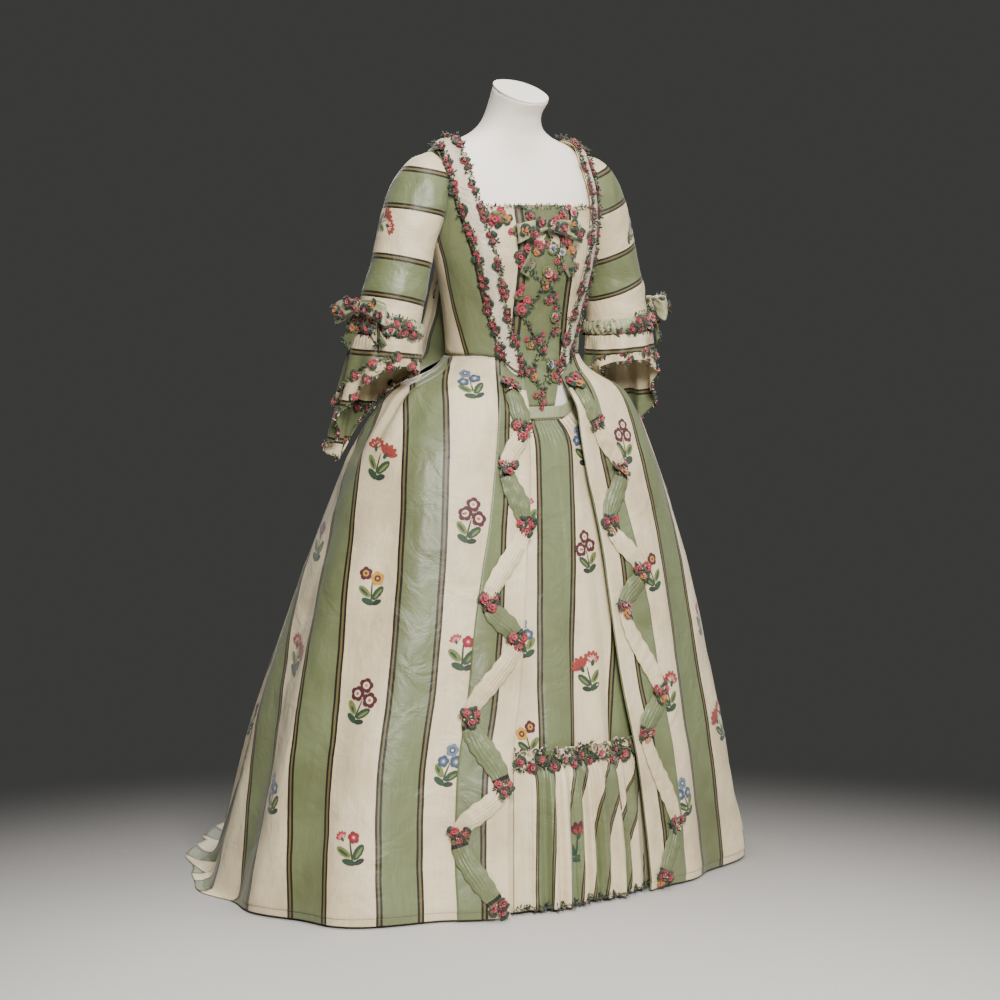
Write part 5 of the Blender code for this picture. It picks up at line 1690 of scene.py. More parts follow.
@dataclass
class Petticoat:
    """The petticoat with its waistband, and the gathered flounce across its front."""

    band_height: float = 0.021
    band_out: float = 0.0022
    seam_gap: float = 0.0004
    flounce_top: float = 0.279
    flounce_stitch: float = 0.254
    gathers: int = 10
    span: float = 31.0
    lean: float = 0.105

    @staticmethod
    def turns() -> list[tuple[int, float]]:
        """Returns the columns all round, close together at the front."""
        half = [4.0 * i for i in range(10)] + [36.0 + 12.0 * (i + 1) for i in range(12)]
        left = [(LEFT, turn) for turn in half]
        return left + [(RIGHT, turn) for turn in half[1:-1]][::-1]

    @staticmethod
    def band_middle(turn: float) -> float:
        """Returns the height of the waistband's middle."""
        return FRONT_BAND + (SIDE_BAND - FRONT_BAND) * ease(20.0, 80.0, turn)

    @staticmethod
    def radius(side: int, turn: float, height: float) -> float:
        """Returns the petticoat's radius at a turn and height."""
        inset, hip, quarter, back = petticoat_at(height)
        front = gown_radius(side, min(turn, 120.0), height) - inset
        own = smooth_through((90.0, 120.0, 150.0, 180.0), (front, hip, quarter, back))(turn)
        radius = front + (float(own[0]) - front) * ease(90.0, 120.0, turn)
        grown = 1 - ease(0.10, 0.83, height)
        for fold in PETTICOAT_FOLDS:
            distance = turn - fold.turn if fold.side == side else turn + fold.turn
            radius += grown * fold.depth * math.exp(-((distance / fold.width) ** 2))
        return radius

    def waistband(self, wardrobe: Wardrobe) -> None:
        """Builds the band that carries the petticoat."""
        rows = []
        for edge in (0.5, 0.0, -0.5):
            row = []
            for side, turn in self.turns():
                height = self.band_middle(turn) + edge * self.band_height
                row.append(polar(side, turn, torso_radius(turn, height) + self.band_out, height))
            rows.append(row)
        sheet = Cloth("petticoat_waistband_silk", np.array(rows), closed=True).finer(4, 8)
        sheet = sheet.pushed(0.001)
        sheet = sheet.pushed(0.0005 * rumple(sheet.points, (90, 90, 40), 2.0))
        piece = sheet.build(wardrobe.pale_green, "petticoat_waistband", wall=0.0012)
        sheet.declare(piece, Held.STRETCHED, ["form_cover"])

    def panel(self) -> Cloth:
        """Returns the petticoat itself, gathered under its band."""
        steps = (0.0, 0.01, 0.05, 0.13, 0.28, 0.46, 0.66, 0.83, 1.0)
        rows = []
        for step in steps:
            row = []
            for side, turn in self.turns():
                top = self.band_middle(turn) - self.band_height / 2 - self.seam_gap
                height = top + (HEM_CLEARANCE - top) * step
                seated = torso_radius(turn, height) + self.band_out + 0.0002
                radius = self.radius(side, turn, height)
                radius += (seated - radius) * (1 - ease(0.01, 0.06, step))
                row.append(polar(side, turn, radius, height))
            rows.append(row)
        front = len(rows[0]) // 2
        rows = np.roll(np.array(rows), -front, axis=1)
        sheet = Cloth("petticoat_silk", rows, closed=True, zero=front).finer(9, 6)
        sheet = sheet.pushed(CLOTH_WALL / 2)
        points = sheet.points
        share = np.linspace(0, 1, len(points))[:, None]
        turns = np.arctan2(points[..., 0], -points[..., 1])
        gathers = 0.0016 * np.sin(turns * 88 + 1.6 * np.sin(turns * 9)) * eased(0.01, 0.04, share)
        gathers = gathers * (1 - eased(0.05, 0.34, share))
        soft = (0.0022 * rumple(points, (16, 16, 3), 61.0) + 0.0008 * rumple(points, (10, 10, 24), 67.0)
                + 0.0008 * rumple(points, (44, 44, 10), 71.0)) * eased(0.03, 0.12, share)
        soft = soft * (1 - 0.9 * eased(0.94, 0.99, share))
        return sheet.pushed(gathers + soft)

    def flounce(self) -> Cloth:
        """Returns the gathered frill, with its small heading above the stitches."""
        columns = self.gathers * 5
        table = (FlounceRow(self.flounce_top, 0.010, 0.0040),
                 FlounceRow(self.flounce_stitch, 0.0017, 0.0006),
                 FlounceRow(0.215, 0.010, 0.0050),
                 FlounceRow(0.115, 0.013, 0.0075),
                 FlounceRow(HEM_CLEARANCE + 0.002, 0.014, 0.0085))
        rows = []
        for height, out, wave_depth in table:
            row = []
            for i in range(columns + 1):
                around = -self.span + 2 * self.span * i / columns
                side, turn = (LEFT, around) if around >= 0 else (RIGHT, -around)
                taper = 1 - 0.8 * ease(20.0, 28.0, turn)
                phase = 2 * math.pi * self.gathers * i / columns
                wave = math.sin(phase + 0.5 * math.sin(phase * 0.37))
                off = 0.0004 + (out + wave_depth * wave) * taper
                radius = self.radius(side, turn, height) + CLOTH_WALL + off
                row.append(polar(side, turn, radius, height))
            rows.append(row)
        sheet = Cloth("flounce_silk", np.array(rows)).finer(14, 4).pushed(CLOTH_WALL / 2)
        points = sheet.points
        share = np.linspace(0, 1, len(points))[:, None]
        across = np.linspace(0, 1, points.shape[1])[None, :]
        fine = np.sin(across * 2 * math.pi * 58 + 2.0 * np.sin(across * 37))
        pinched = np.exp(-((share - 0.25) / 0.10) ** 2)
        gathers = 0.0013 * fine * (0.25 + 0.75 * np.exp(-((share - 0.25) / 0.16) ** 2))
        return sheet.pushed(gathers * (1 - 0.8 * pinched) + 0.0009 * rumple(points, (40, 40, 12), 77.0)
                            + 0.0006 * rumple(points, (20, 20, 60), 81.0))

    def dress(self, wardrobe: Wardrobe) -> None:
        """Builds the waistband, the petticoat and its flounce, with their flowers."""
        self.waistband(wardrobe)
        sheet = self.panel()
        silk = wardrobe.striped("striped silk of the petticoat", BORDER + GREEN_STRIPE / 2 - 0.004)
        piece = sheet.build(silk, "petticoat", lean=self.lean)
        made = Trimming("petticoat_sprigs")
        arcs = sheet.arcs()
        for offset, height, kind in PETTICOAT_SPRIGS:
            arc = offset - self.lean * (LEAN_FROM - height)
            made.brocade(sheet, arc, height, kind, PETTICOAT_SPRIG, 6, arcs)
        sprigs = made.build(wardrobe.floss, "striped_silk")
        sheet.declare(piece, Held.GATHERED, ["petticoat_waistband_silk"], [sprigs])
        self.dress_flounce(wardrobe, self.flounce())

    def dress_flounce(self, wardrobe: Wardrobe, sheet: Cloth) -> None:
        """Builds the flounce with its heading of flowers and its two lines of fly fringe."""
        chance = random.Random(9)
        silk = wardrobe.striped("striped silk of the flounce", 0.0890)
        # Gathers too fine for the mesh take up the silk, so its repeat shows narrower here.
        piece = sheet.build(silk, "petticoat_flounce", spread=1.70)
        flowers = Trimming("flounce_flowers", wall=FLOWER_WALL)
        arcs = sheet.arcs()
        stitch = sheet.row_at(0.3, self.flounce_stitch)
        for k, spot in enumerate(fine_spots(sheet, stitch, 0.022, 0.01)):
            spot = spot._replace(point=spot.point + spot.out * 0.004 + spot.up * 0.006 * (-1) ** k)
            flowers.heading_rose(spot, k, (0.013, 0.018), chance)
        sprigs = Trimming("flounce_sprigs")
        for arc, height, kind in ((0.165, 0.12, Sprig.TULIP), (0.30, 0.16, Sprig.CARNATION),
                                  (0.47, 0.11, Sprig.AURICULA), (0.60, 0.16, Sprig.PANSY)):
            sprigs.brocade(sheet, arc, height, kind, PETTICOAT_SPRIG, -4, arcs)
        fringe = Trimming("flounce_fringe")
        for row, dyes in ((0.6, FLY_DYES), (stitch - 3, DARK_DYES), (stitch + 2, DARK_DYES),
                          (len(sheet.points) - 1.6, DARK_DYES)):
            fringe.fringe(lifted(fine_spots(sheet, row, 0.0078, 0.002), 0.0015), 0.0105, dyes, chance)
        parts = [flowers.build(wardrobe.floss, "cream_silk"), sprigs.build(wardrobe.floss, "striped_silk"),
                 fringe.build(wardrobe.floss, "pale_green_silk")]
        sheet.declare(piece, Held.GATHERED, ["petticoat_silk"], parts)


# Lengths from the middle of the front green stripe, with heights and kinds
PETTICOAT_SPRIGS = (
    (-0.062, 0.470, Sprig.BLUEBELL), (0.072, 0.405, Sprig.CARNATION), (-0.060, 0.300, Sprig.PANSY),
    (0.068, 0.610, Sprig.AURICULA), (-0.060, 0.690, Sprig.ROSEBUD), (0.070, 0.800, Sprig.BLUEBELL),
    (0.230, 0.330, Sprig.TULIP), (-0.230, 0.360, Sprig.AURICULA),
)


class StomacherRow(NamedTuple):
    """Half the stomacher's width at one height."""

    height: float
    half_width: float


STOMACHER = (
    StomacherRow(0.868, 0.027),
    StomacherRow(0.924, 0.040),
    StomacherRow(0.960, 0.047),
    StomacherRow(1.040, 0.071),
    StomacherRow(1.130, 0.094),
    StomacherRow(1.171, 0.104),
    StomacherRow(1.222, 0.117),
)
STOMACHER_TOP, STOMACHER_BOTTOM = 1.222, 0.868
stomacher_at = smooth_through(
    [row.height for row in STOMACHER], columns_of(STOMACHER, "half_width")
)
STRAP_OUTER = smooth_through(
    (0.924, 0.960, 1.040, 1.130, 1.160, 1.205, 1.240, 1.262),
    (0.070, 0.080, 0.106, 0.134, 0.143, 0.152, 0.156, 0.1535),
)


# Gap between the stomacher and a front, and where the strap begins above the stomacher
STRAP_GAP, STRAP_INNER = 0.0016, 0.1185


def strap_inner(height: float) -> float:
    """Returns how far from the middle a bodice front begins."""
    if height < STOMACHER_TOP:
        return float(stomacher_at(height)[0]) + STRAP_GAP
    return STRAP_INNER


class Bloom(NamedTuple):
    """One flower of the stomacher's garland: its place on the front and its size."""

    x: float
    height: float
    size: float
    dyes: tuple[Dye, Dye]


PINK, DEEP, GOLD, PALE, GREY = ((Dye.DEEP_ROSE, Dye.ROSE), (Dye.MAROON, Dye.ROSE),
                                (Dye.YELLOW, Dye.ORANGE), (Dye.ROSE, Dye.PALE_ROSE),
                                (Dye.SLATE, Dye.CREAM))
GARLAND = (
    Bloom(-0.092, 1.196, 0.020, PINK), Bloom(-0.0716, 1.198, 0.014, GOLD),
    Bloom(-0.0527, 1.178, 0.015, PINK), Bloom(-0.0296, 1.203, 0.014, DEEP),
    Bloom(0.0355, 1.205, 0.015, PINK), Bloom(0.0607, 1.209, 0.014, PALE),
    Bloom(0.0481, 1.180, 0.015, DEEP), Bloom(-0.0212, 1.150, 0.020, PINK),
    Bloom(0.0082, 1.146, 0.014, GREY), Bloom(0.0418, 1.159, 0.014, PINK),
    Bloom(0.046, 1.141, 0.018, GOLD), Bloom(-0.0527, 1.132, 0.015, DEEP),
    Bloom(-0.0338, 1.120, 0.014, PINK), Bloom(-0.0002, 1.105, 0.015, PALE),
    Bloom(0.0292, 1.116, 0.015, PINK), Bloom(0.0523, 1.114, 0.013, DEEP),
    Bloom(-0.0023, 1.082, 0.014, GOLD), Bloom(-0.0485, 1.068, 0.014, PINK),
    Bloom(0.0082, 1.057, 0.015, DEEP), Bloom(-0.0422, 1.041, 0.019, PINK),
    Bloom(0.0229, 1.027, 0.014, PALE), Bloom(0.0271, 1.002, 0.014, PINK),
    Bloom(-0.0065, 0.986, 0.014, DEEP), Bloom(-0.0191, 0.977, 0.013, GOLD),
    Bloom(0.004, 0.970, 0.013, PINK), Bloom(-0.0275, 0.929, 0.014, PINK),
    Bloom(0.0187, 0.941, 0.013, GREY), Bloom(0.0271, 0.918, 0.013, PINK),
    Bloom(-0.0149, 0.920, 0.012, GOLD), Bloom(-0.0023, 0.888, 0.013, DEEP),
    Bloom(-0.0002, 0.875, 0.012, PINK),
)


@dataclass
class Bodice:
    """The stomacher with its garland, and the two fronts with their robings."""

    out: float = 0.0023
    robing_out: float = 0.0058
    robing_width: float = 0.028
    waist_gap: float = 0.0046
    stomacher_repeat: float = 0.238
    front_stripe: float = -0.028

    def stomacher(self, wardrobe: Wardrobe) -> Cloth:
        """Builds the stomacher and returns its sheet."""
        heights = (STOMACHER_BOTTOM, 0.905, 0.940, 0.975, 1.015, 1.060, 1.105, 1.145, 1.185,
                   STOMACHER_TOP)
        rows = []
        for height in heights[::-1]:
            row = []
            for i in range(9):
                x = float(stomacher_at(height)[0]) * (i / 4 - 1)
                row.append(torso_point(int(math.copysign(1, x)), turn_of_x(abs(x), height), height,
                                       self.out))
            rows.append(row)
        sheet = Cloth("stomacher_silk", np.array(rows), zero=4).finer(8, 8).pushed(CLOTH_WALL / 2)
        points = sheet.points
        sheet = sheet.pushed(0.0009 * rumple(points, (55, 55, 30), 91.0)
                             + 0.0006 * rumple(points, (30, 30, 90), 95.0))
        silk = wardrobe.striped("striped silk of the stomacher", BORDER + GREEN_STRIPE / 2)
        piece = sheet.build(silk, "stomacher", spread=STRIPE_REPEAT / self.stomacher_repeat)
        flowers, fringe = self.garland(sheet)
        parts = wardrobe.sewn_on(flowers, fringe)
        sheet.declare(piece, Held.STRETCHED, ["form_cover"], parts)
        return sheet

    def garland(self, sheet: Cloth) -> tuple[Trimming, Trimming]:
        """Returns the flowers and the fly fringe of the stomacher."""
        chance = random.Random(3)
        flowers = Trimming("stomacher_flowers", wall=FLOWER_WALL)
        fringe = Trimming("stomacher_fringe")
        arcs = sheet.arcs()
        for bloom in GARLAND:
            row = sheet.row_at(bloom.x, bloom.height)
            spot = sheet.spot(row, bloom.x * 1.06, arcs)
            spot = spot._replace(point=spot.point + spot.out * 0.002)
            flowers.rose(spot, bloom.size * 1.12, bloom.dyes, chance)
            turn = chance.uniform(0, ANY_TURN)
            beside = (spot.across * math.cos(turn) + spot.up * math.sin(turn)) * bloom.size * 0.95
            flowers.rose(spot._replace(point=spot.point + beside - spot.out * 0.001), bloom.size * 0.8,
                         chance.choice(RED_DYES), chance)
            for _ in range(5):
                flowers.leaf(spot, chance.uniform(0, ANY_TURN), bloom.size * 0.85,
                             chance.choice((Dye.LEAF, Dye.OLIVE)))
        # The garland's fly cord winds from flower to flower in three festoons.
        for low, high, swing in ((0.895, 0.965, 0.020), (0.965, 1.085, 0.036), (1.085, 1.165, 0.048)):
            for side in (-1, 1):
                for t in np.arange(0, 1, 0.0075 / (high - low)):
                    x = side * swing * math.sin(math.pi * t) * (0.75 + 0.25 * t)
                    height = low + (high - low) * t
                    row = sheet.row_at(x, height)
                    spot = sheet.spot(row, x, arcs)
                    fringe.tuft(spot._replace(point=spot.point + spot.out * 0.001), 0.0105,
                                DARK_DYES[int(t * 40) % len(DARK_DYES)], chance)
        for spot in lifted(fine_spots(sheet, 0.7, 0.0072, -0.112), 0.001):
            fringe.tuft(spot, 0.0085, chance.choice(FLY_DYES), chance)
        return flowers, fringe

    def front(self, side: int, word: str, wardrobe: Wardrobe) -> bpy.types.Object:
        """Builds one front from the stomacher to the side seam, with its shoulder strap."""
        strap_columns, side_columns = 3, 6
        low_heights = (0.0, 0.2, 0.42, 0.64, 0.83, 1.0)
        waist_outer = float(STRAP_OUTER(SIDE_WAIST)[0])
        waist_edge = polar_turn(torso_point(LEFT, turn_of_x(waist_outer, SIDE_WAIST), SIDE_WAIST))
        rows = []
        for share in low_heights:
            row = []
            for i in range(strap_columns + side_columns + 1):
                row.append(self.front_point(side, i, share, strap_columns, side_columns, waist_edge))
            rows.append(row)
        for step in (0.17, 0.34, 0.5, 0.59, 0.68, 0.76, 0.84, 0.92, 1.0):
            row = [self.strap_point(side, i / strap_columns, step) for i in range(strap_columns + 1)]
            beyond = [row[-1]] * side_columns
            if step <= 0.5:
                height = UNDERARM + (STRAP_BEND - UNDERARM) * step / 0.5
                beyond = [self.side_point(side, (i + 1) / side_columns, height)
                          for i in range(side_columns)]
            rows.append(row + beyond)
        keep = np.ones((len(rows) - 1, strap_columns + side_columns), bool)
        whole = len(low_heights) + 2
        keep[whole:, strap_columns:] = False
        sheet = self.two_part_finer(np.array(rows), keep, whole, strap_columns, word)
        silk = wardrobe.striped("striped silk of the bodice " + word, self.front_stripe)
        piece = sheet.build(silk, "bodice_front_" + word)
        woven = Trimming("bodice_sprigs_" + word)
        woven.brocade(sheet, 0.136, 1.034, Sprig.TULIP, 1.0, 4)
        sprigs = woven.build(wardrobe.floss, "striped_silk")
        sheet.declare(piece, Held.STRETCHED, ["form_cover"], [sprigs])
        return piece

    def two_part_finer(self, rows: np.ndarray, keep: np.ndarray, low: int, strap: int,
                       word: str) -> Cloth:
        """Returns the L-shaped front drawn finer, its side part ending at the underarm.

        Args:
            rows: The coarse grid.
            keep: Which of its cells are cloth.
            low: How many rows of cells the side part has.
            strap: How many columns of cells the strap has.
            word: The side's name.
        """
        parts = 6
        strap_part = Cloth("", rows[:, :strap + 1]).finer(parts, parts).points
        side_part = Cloth("", rows[:low + 1, strap:]).finer(parts, parts).points
        low_part = Cloth("", rows[:low + 1]).finer(parts, parts).points
        full = np.concatenate([strap_part, np.repeat(strap_part[:, -1:], side_part.shape[1] - 1, 1)], 1)
        full[:low * parts + 1] = low_part
        blend = np.linspace(0, 1, low * parts + 1)[:, None, None] ** 6
        full[:low * parts + 1, :strap * parts + 1] = (
            low_part[:, :strap * parts + 1] * (1 - blend)
            + strap_part[:low * parts + 1] * blend)
        fine_keep = keep.repeat(parts, 0).repeat(parts, 1)
        # Above the underarm the front ends at the armhole's oval, under the sleeve's head.
        middle = (full[:-1, :-1] + full[1:, 1:]) / 2
        off = np.hypot((middle[..., 1] - ARMHOLE_MIDDLE[0]) / ARMHOLE_HALF[0],
                       (middle[..., 2] - ARMHOLE_MIDDLE[1]) / ARMHOLE_HALF[1])
        cut = (middle[..., 2] > UNDERARM) & ((off < 0.96) | (middle[..., 1] > ARMHOLE_MIDDLE[0]))
        cut[:, :strap * parts] = False
        fine_keep &= ~cut
        sheet = Cloth("bodice_front_silk_" + word, full, keep=fine_keep).pushed(CLOTH_WALL / 2)
        return sheet.pushed(0.0007 * rumple(sheet.points, (50, 50, 28), 14.0))

    def front_point(self, side: int, i: int, share: float, strap: int, beyond: int,
                    waist_edge: float) -> Point:
        """Returns one point of the front below the armhole."""
        if i <= strap:
            inner, outer = strap_inner(0.94), float(STRAP_OUTER(0.94)[0])
            x = inner + (outer - inner) * i / strap
            waist_turn = polar_turn(torso_point(LEFT, turn_of_x(x, 0.94), 0.94))
        else:
            waist_turn = waist_edge + (SEAM_TURN - waist_edge) * (i - strap) / beyond
        low = gown_waist(waist_turn) + self.waist_gap
        height = low + (UNDERARM - low) * share
        inner, outer = strap_inner(height), float(STRAP_OUTER(height)[0])
        if i <= strap:
            x = inner + (outer - inner) * i / strap
            return torso_point(side, turn_of_x(x, height), height, self.out)
        return self.side_point(side, (i - strap) / beyond, height)

    def side_point(self, side: int, share: float, height: float) -> Point:
        """Returns a point between the strap's outer edge and the side seam, or level with them."""
        outer = float(STRAP_OUTER(height)[0])
        first = polar_turn(torso_point(LEFT, turn_of_x(outer, height), height))
        last = seam_turn(torso_radius(SEAM_TURN, height), SIDE_WAIST)
        turn = first + (last - first) * share
        return polar(side, turn, torso_radius(turn, height) + self.out + 0.0002, height)

    def strap_point(self, side: int, share: float, step: float) -> Point:
        """Returns a point of the strap: step runs from the armhole over to the back."""
        if step <= 0.5:
            height = UNDERARM + (STRAP_BEND - UNDERARM) * step / 0.5
            inner, outer = strap_inner(height), float(STRAP_OUTER(height)[0])
            x = inner + (outer - inner) * share
            return torso_point(side, turn_of_x(x, height), height, self.out)
        inner, outer = strap_inner(STRAP_BEND), float(STRAP_OUTER(STRAP_BEND)[0])
        x = inner + (outer - inner) * share
        start = turn_of_x(x, STRAP_BEND)
        over = (step - 0.5) / 0.5
        turn = start + (STRAP_END_TURN - start) * over
        out = self.out + SHOULDER_EASE * ease(0, 0.3, over)
        return torso_point(side, turn, height_of_x(x, turn), out)

    def robing(self, side: int, word: str, wardrobe: Wardrobe, front: bpy.types.Object) -> None:
        """Builds the flat band along a front, edged with fly fringe, with roses down its middle."""
        rows = []
        for height in (0.93, 0.965, 1.005, 1.05, 1.095, 1.135, 1.175, 1.21, 1.24, STRAP_BEND):
            row = []
            for i in range(5):
                x = float(robing_at(height)[0]) + self.robing_width * (i / 4 - 0.5)
                seam = gown_waist(polar_turn(torso_point(LEFT, turn_of_x(x, height), height)))
                above = max(height, seam + 0.006)
                row.append(torso_point(side, turn_of_x(x, above), above, self.robing_out))
            rows.append(row)
        for step in (0.17, 0.33, 0.5, 0.66, 0.83, 1.0):
            row = []
            for i in range(5):
                x = float(robing_at(STRAP_BEND)[0]) + self.robing_width * (i / 4 - 0.5)
                start = turn_of_x(x, STRAP_BEND)
                turn = start + (STRAP_END_TURN - 1 - start) * step
                out = self.robing_out + SHOULDER_EASE * ease(0, 0.3, step)
                row.append(torso_point(side, turn, height_of_x(x, turn), out))
            rows.append(row)
        sheet = Cloth("robing_silk_" + word, np.array(rows)).finer(12, 4).pushed(0.0008)
        across = np.linspace(-1, 1, sheet.points.shape[1])[None, :]
        down = sheet.drops()
        ruche = np.sin(down * 2 * math.pi / 0.011 + 1.2 * np.sin(down * 90)) * (1 - across ** 2)
        sheet = sheet.pushed(0.0012 * (1 - across ** 2) + 0.0006 * ruche
                             + 0.0008 * rumple(sheet.points, (80, 80, 80), 17.0 + side))
        piece = sheet.build(wardrobe.cream, "robing_" + word, wall=BAND_WALL)
        chance = random.Random(70 + side)
        flowers = Trimming("robing_flowers_" + word, wall=FLOWER_WALL)
        fringe = Trimming("robing_fringe_" + word)
        last = sheet.points.shape[1] - 1
        for n, column in enumerate((1, last - 1)):
            line = lifted(column_spots(sheet, column, 0.0062, 0.002), 0.0008)
            fringe.fringe(line, 0.0092, DARK_DYES, chance)
            line = lifted(column_spots(sheet, column, 0.047 - 0.004 * n, 0.010 + 0.015 * n), 0.0016)
            for k, spot in enumerate(line):
                for step in (-0.0062, 0.0068) if (k + n) % 3 else (-0.011, 0.0, 0.011):
                    shift = spot.up * step + spot.across * chance.uniform(-0.003, 0.003)
                    flowers.rose(spot._replace(point=spot.point + shift), chance.uniform(0.0105, 0.0145),
                                 RED_DYES[(k * 2 + n) % len(RED_DYES)], chance)
                    flowers.leaf(spot, chance.uniform(0, ANY_TURN), 0.013)
                    fringe.tuft(spot._replace(point=spot.point - shift * 1.3), 0.0115, Dye.MOSS, chance, 6)
        parts = wardrobe.sewn_on(flowers, fringe)
        sheet.declare(piece, Held.STRETCHED, [front.name], parts)

    def dress(self, wardrobe: Wardrobe) -> None:
        """Builds the whole bodice."""
        self.stomacher(wardrobe)
        for side, word in SIDES:
            front = self.front(side, word, wardrobe)
            self.robing(side, word, wardrobe, front)


class RobingRow(NamedTuple):
    """Distance of a robing's middle from the body's middle at one height."""

    height: float
    centre: float


ROBING = (
    RobingRow(0.928, 0.050),
    RobingRow(0.960, 0.057),
    RobingRow(1.040, 0.081),
    RobingRow(1.130, 0.104),
    RobingRow(1.171, 0.114),
    RobingRow(1.222, 0.127),
    RobingRow(1.262, 0.1325),
)
robing_at = smooth_through([row.height for row in ROBING], columns_of(ROBING, "centre"))


class SleeveRing(NamedTuple):
    """A ring of the sleeve: inner is the underarm side, outer the upper side."""

    inner_x: float
    inner_z: float
    outer_x: float
    outer_z: float
    half_depth: float
    back: float


SLEEVE = (
    SleeveRing(0.1680, 1.150, 0.195, 1.305, 0.059, 0.009),
    SleeveRing(0.1700, 1.136, 0.223, 1.276, 0.058, 0.010),
    SleeveRing(0.1715, 1.115, 0.248, 1.223, 0.055, 0.011),
    SleeveRing(0.1750, 1.085, 0.268, 1.150, 0.053, 0.012),
    SleeveRing(0.1820, 1.045, 0.286, 1.085, 0.055, 0.014),
    SleeveRing(0.1900, 1.005, 0.300, 1.025, 0.057, 0.017),
    SleeveRing(0.1930, 0.980, 0.304, 0.988, 0.058, 0.018),
)
sleeve_at = smooth_through(range(len(SLEEVE)), columns_of(SLEEVE, *SleeveRing._fields))


def sleeve_point(side: int, place: float, around: float, out: float = 0.0) -> Point:
    """Finds a point of the sleeve's inner side.

    Args:
        side: LEFT or RIGHT.
        place: Rings counted from the shoulder.
        around: Degrees round the arm, 90 at its outer side.
        out: Distance off the sleeve.

    Returns:
        The point.
    """
    inner_x, inner_z, outer_x, outer_z, half_depth, back = sleeve_at(place)
    middle = np.array([(inner_x + outer_x) / 2, back, (inner_z + outer_z) / 2])
    half = np.array([(outer_x - inner_x) / 2, 0.0, (outer_z - inner_z) / 2])
    angle = math.radians(around)
    spoke = half * math.sin(angle) + np.array([0.0, half_depth * math.cos(angle), 0.0])
    return (middle + spoke * (1 + out / np.linalg.norm(half))) * (side, 1, 1)


@dataclass(frozen=True)
class RuffleCut:
    """How a sleeve frill is cut: where it starts, its drops and how far off the gown it hangs."""

    name: str
    start: float
    out: float
    shortest: float
    longest: float
    off_gown: float
    stripe_start: float


UPPER_RUFFLE = RuffleCut("upper", 5.76, 0.0048, 0.034, 0.138, 0.0065, 0.1375)
LOWER_RUFFLE = RuffleCut("lower", 5.90, 0.0023, 0.045, 0.220, 0.0110, 0.0500)


# For each side: height of the sleeve's first border, and how much the stripes slant
SLEEVE_STRIPE = {RIGHT: (1.3045, 0.20), LEFT: (1.3330, 0.42)}


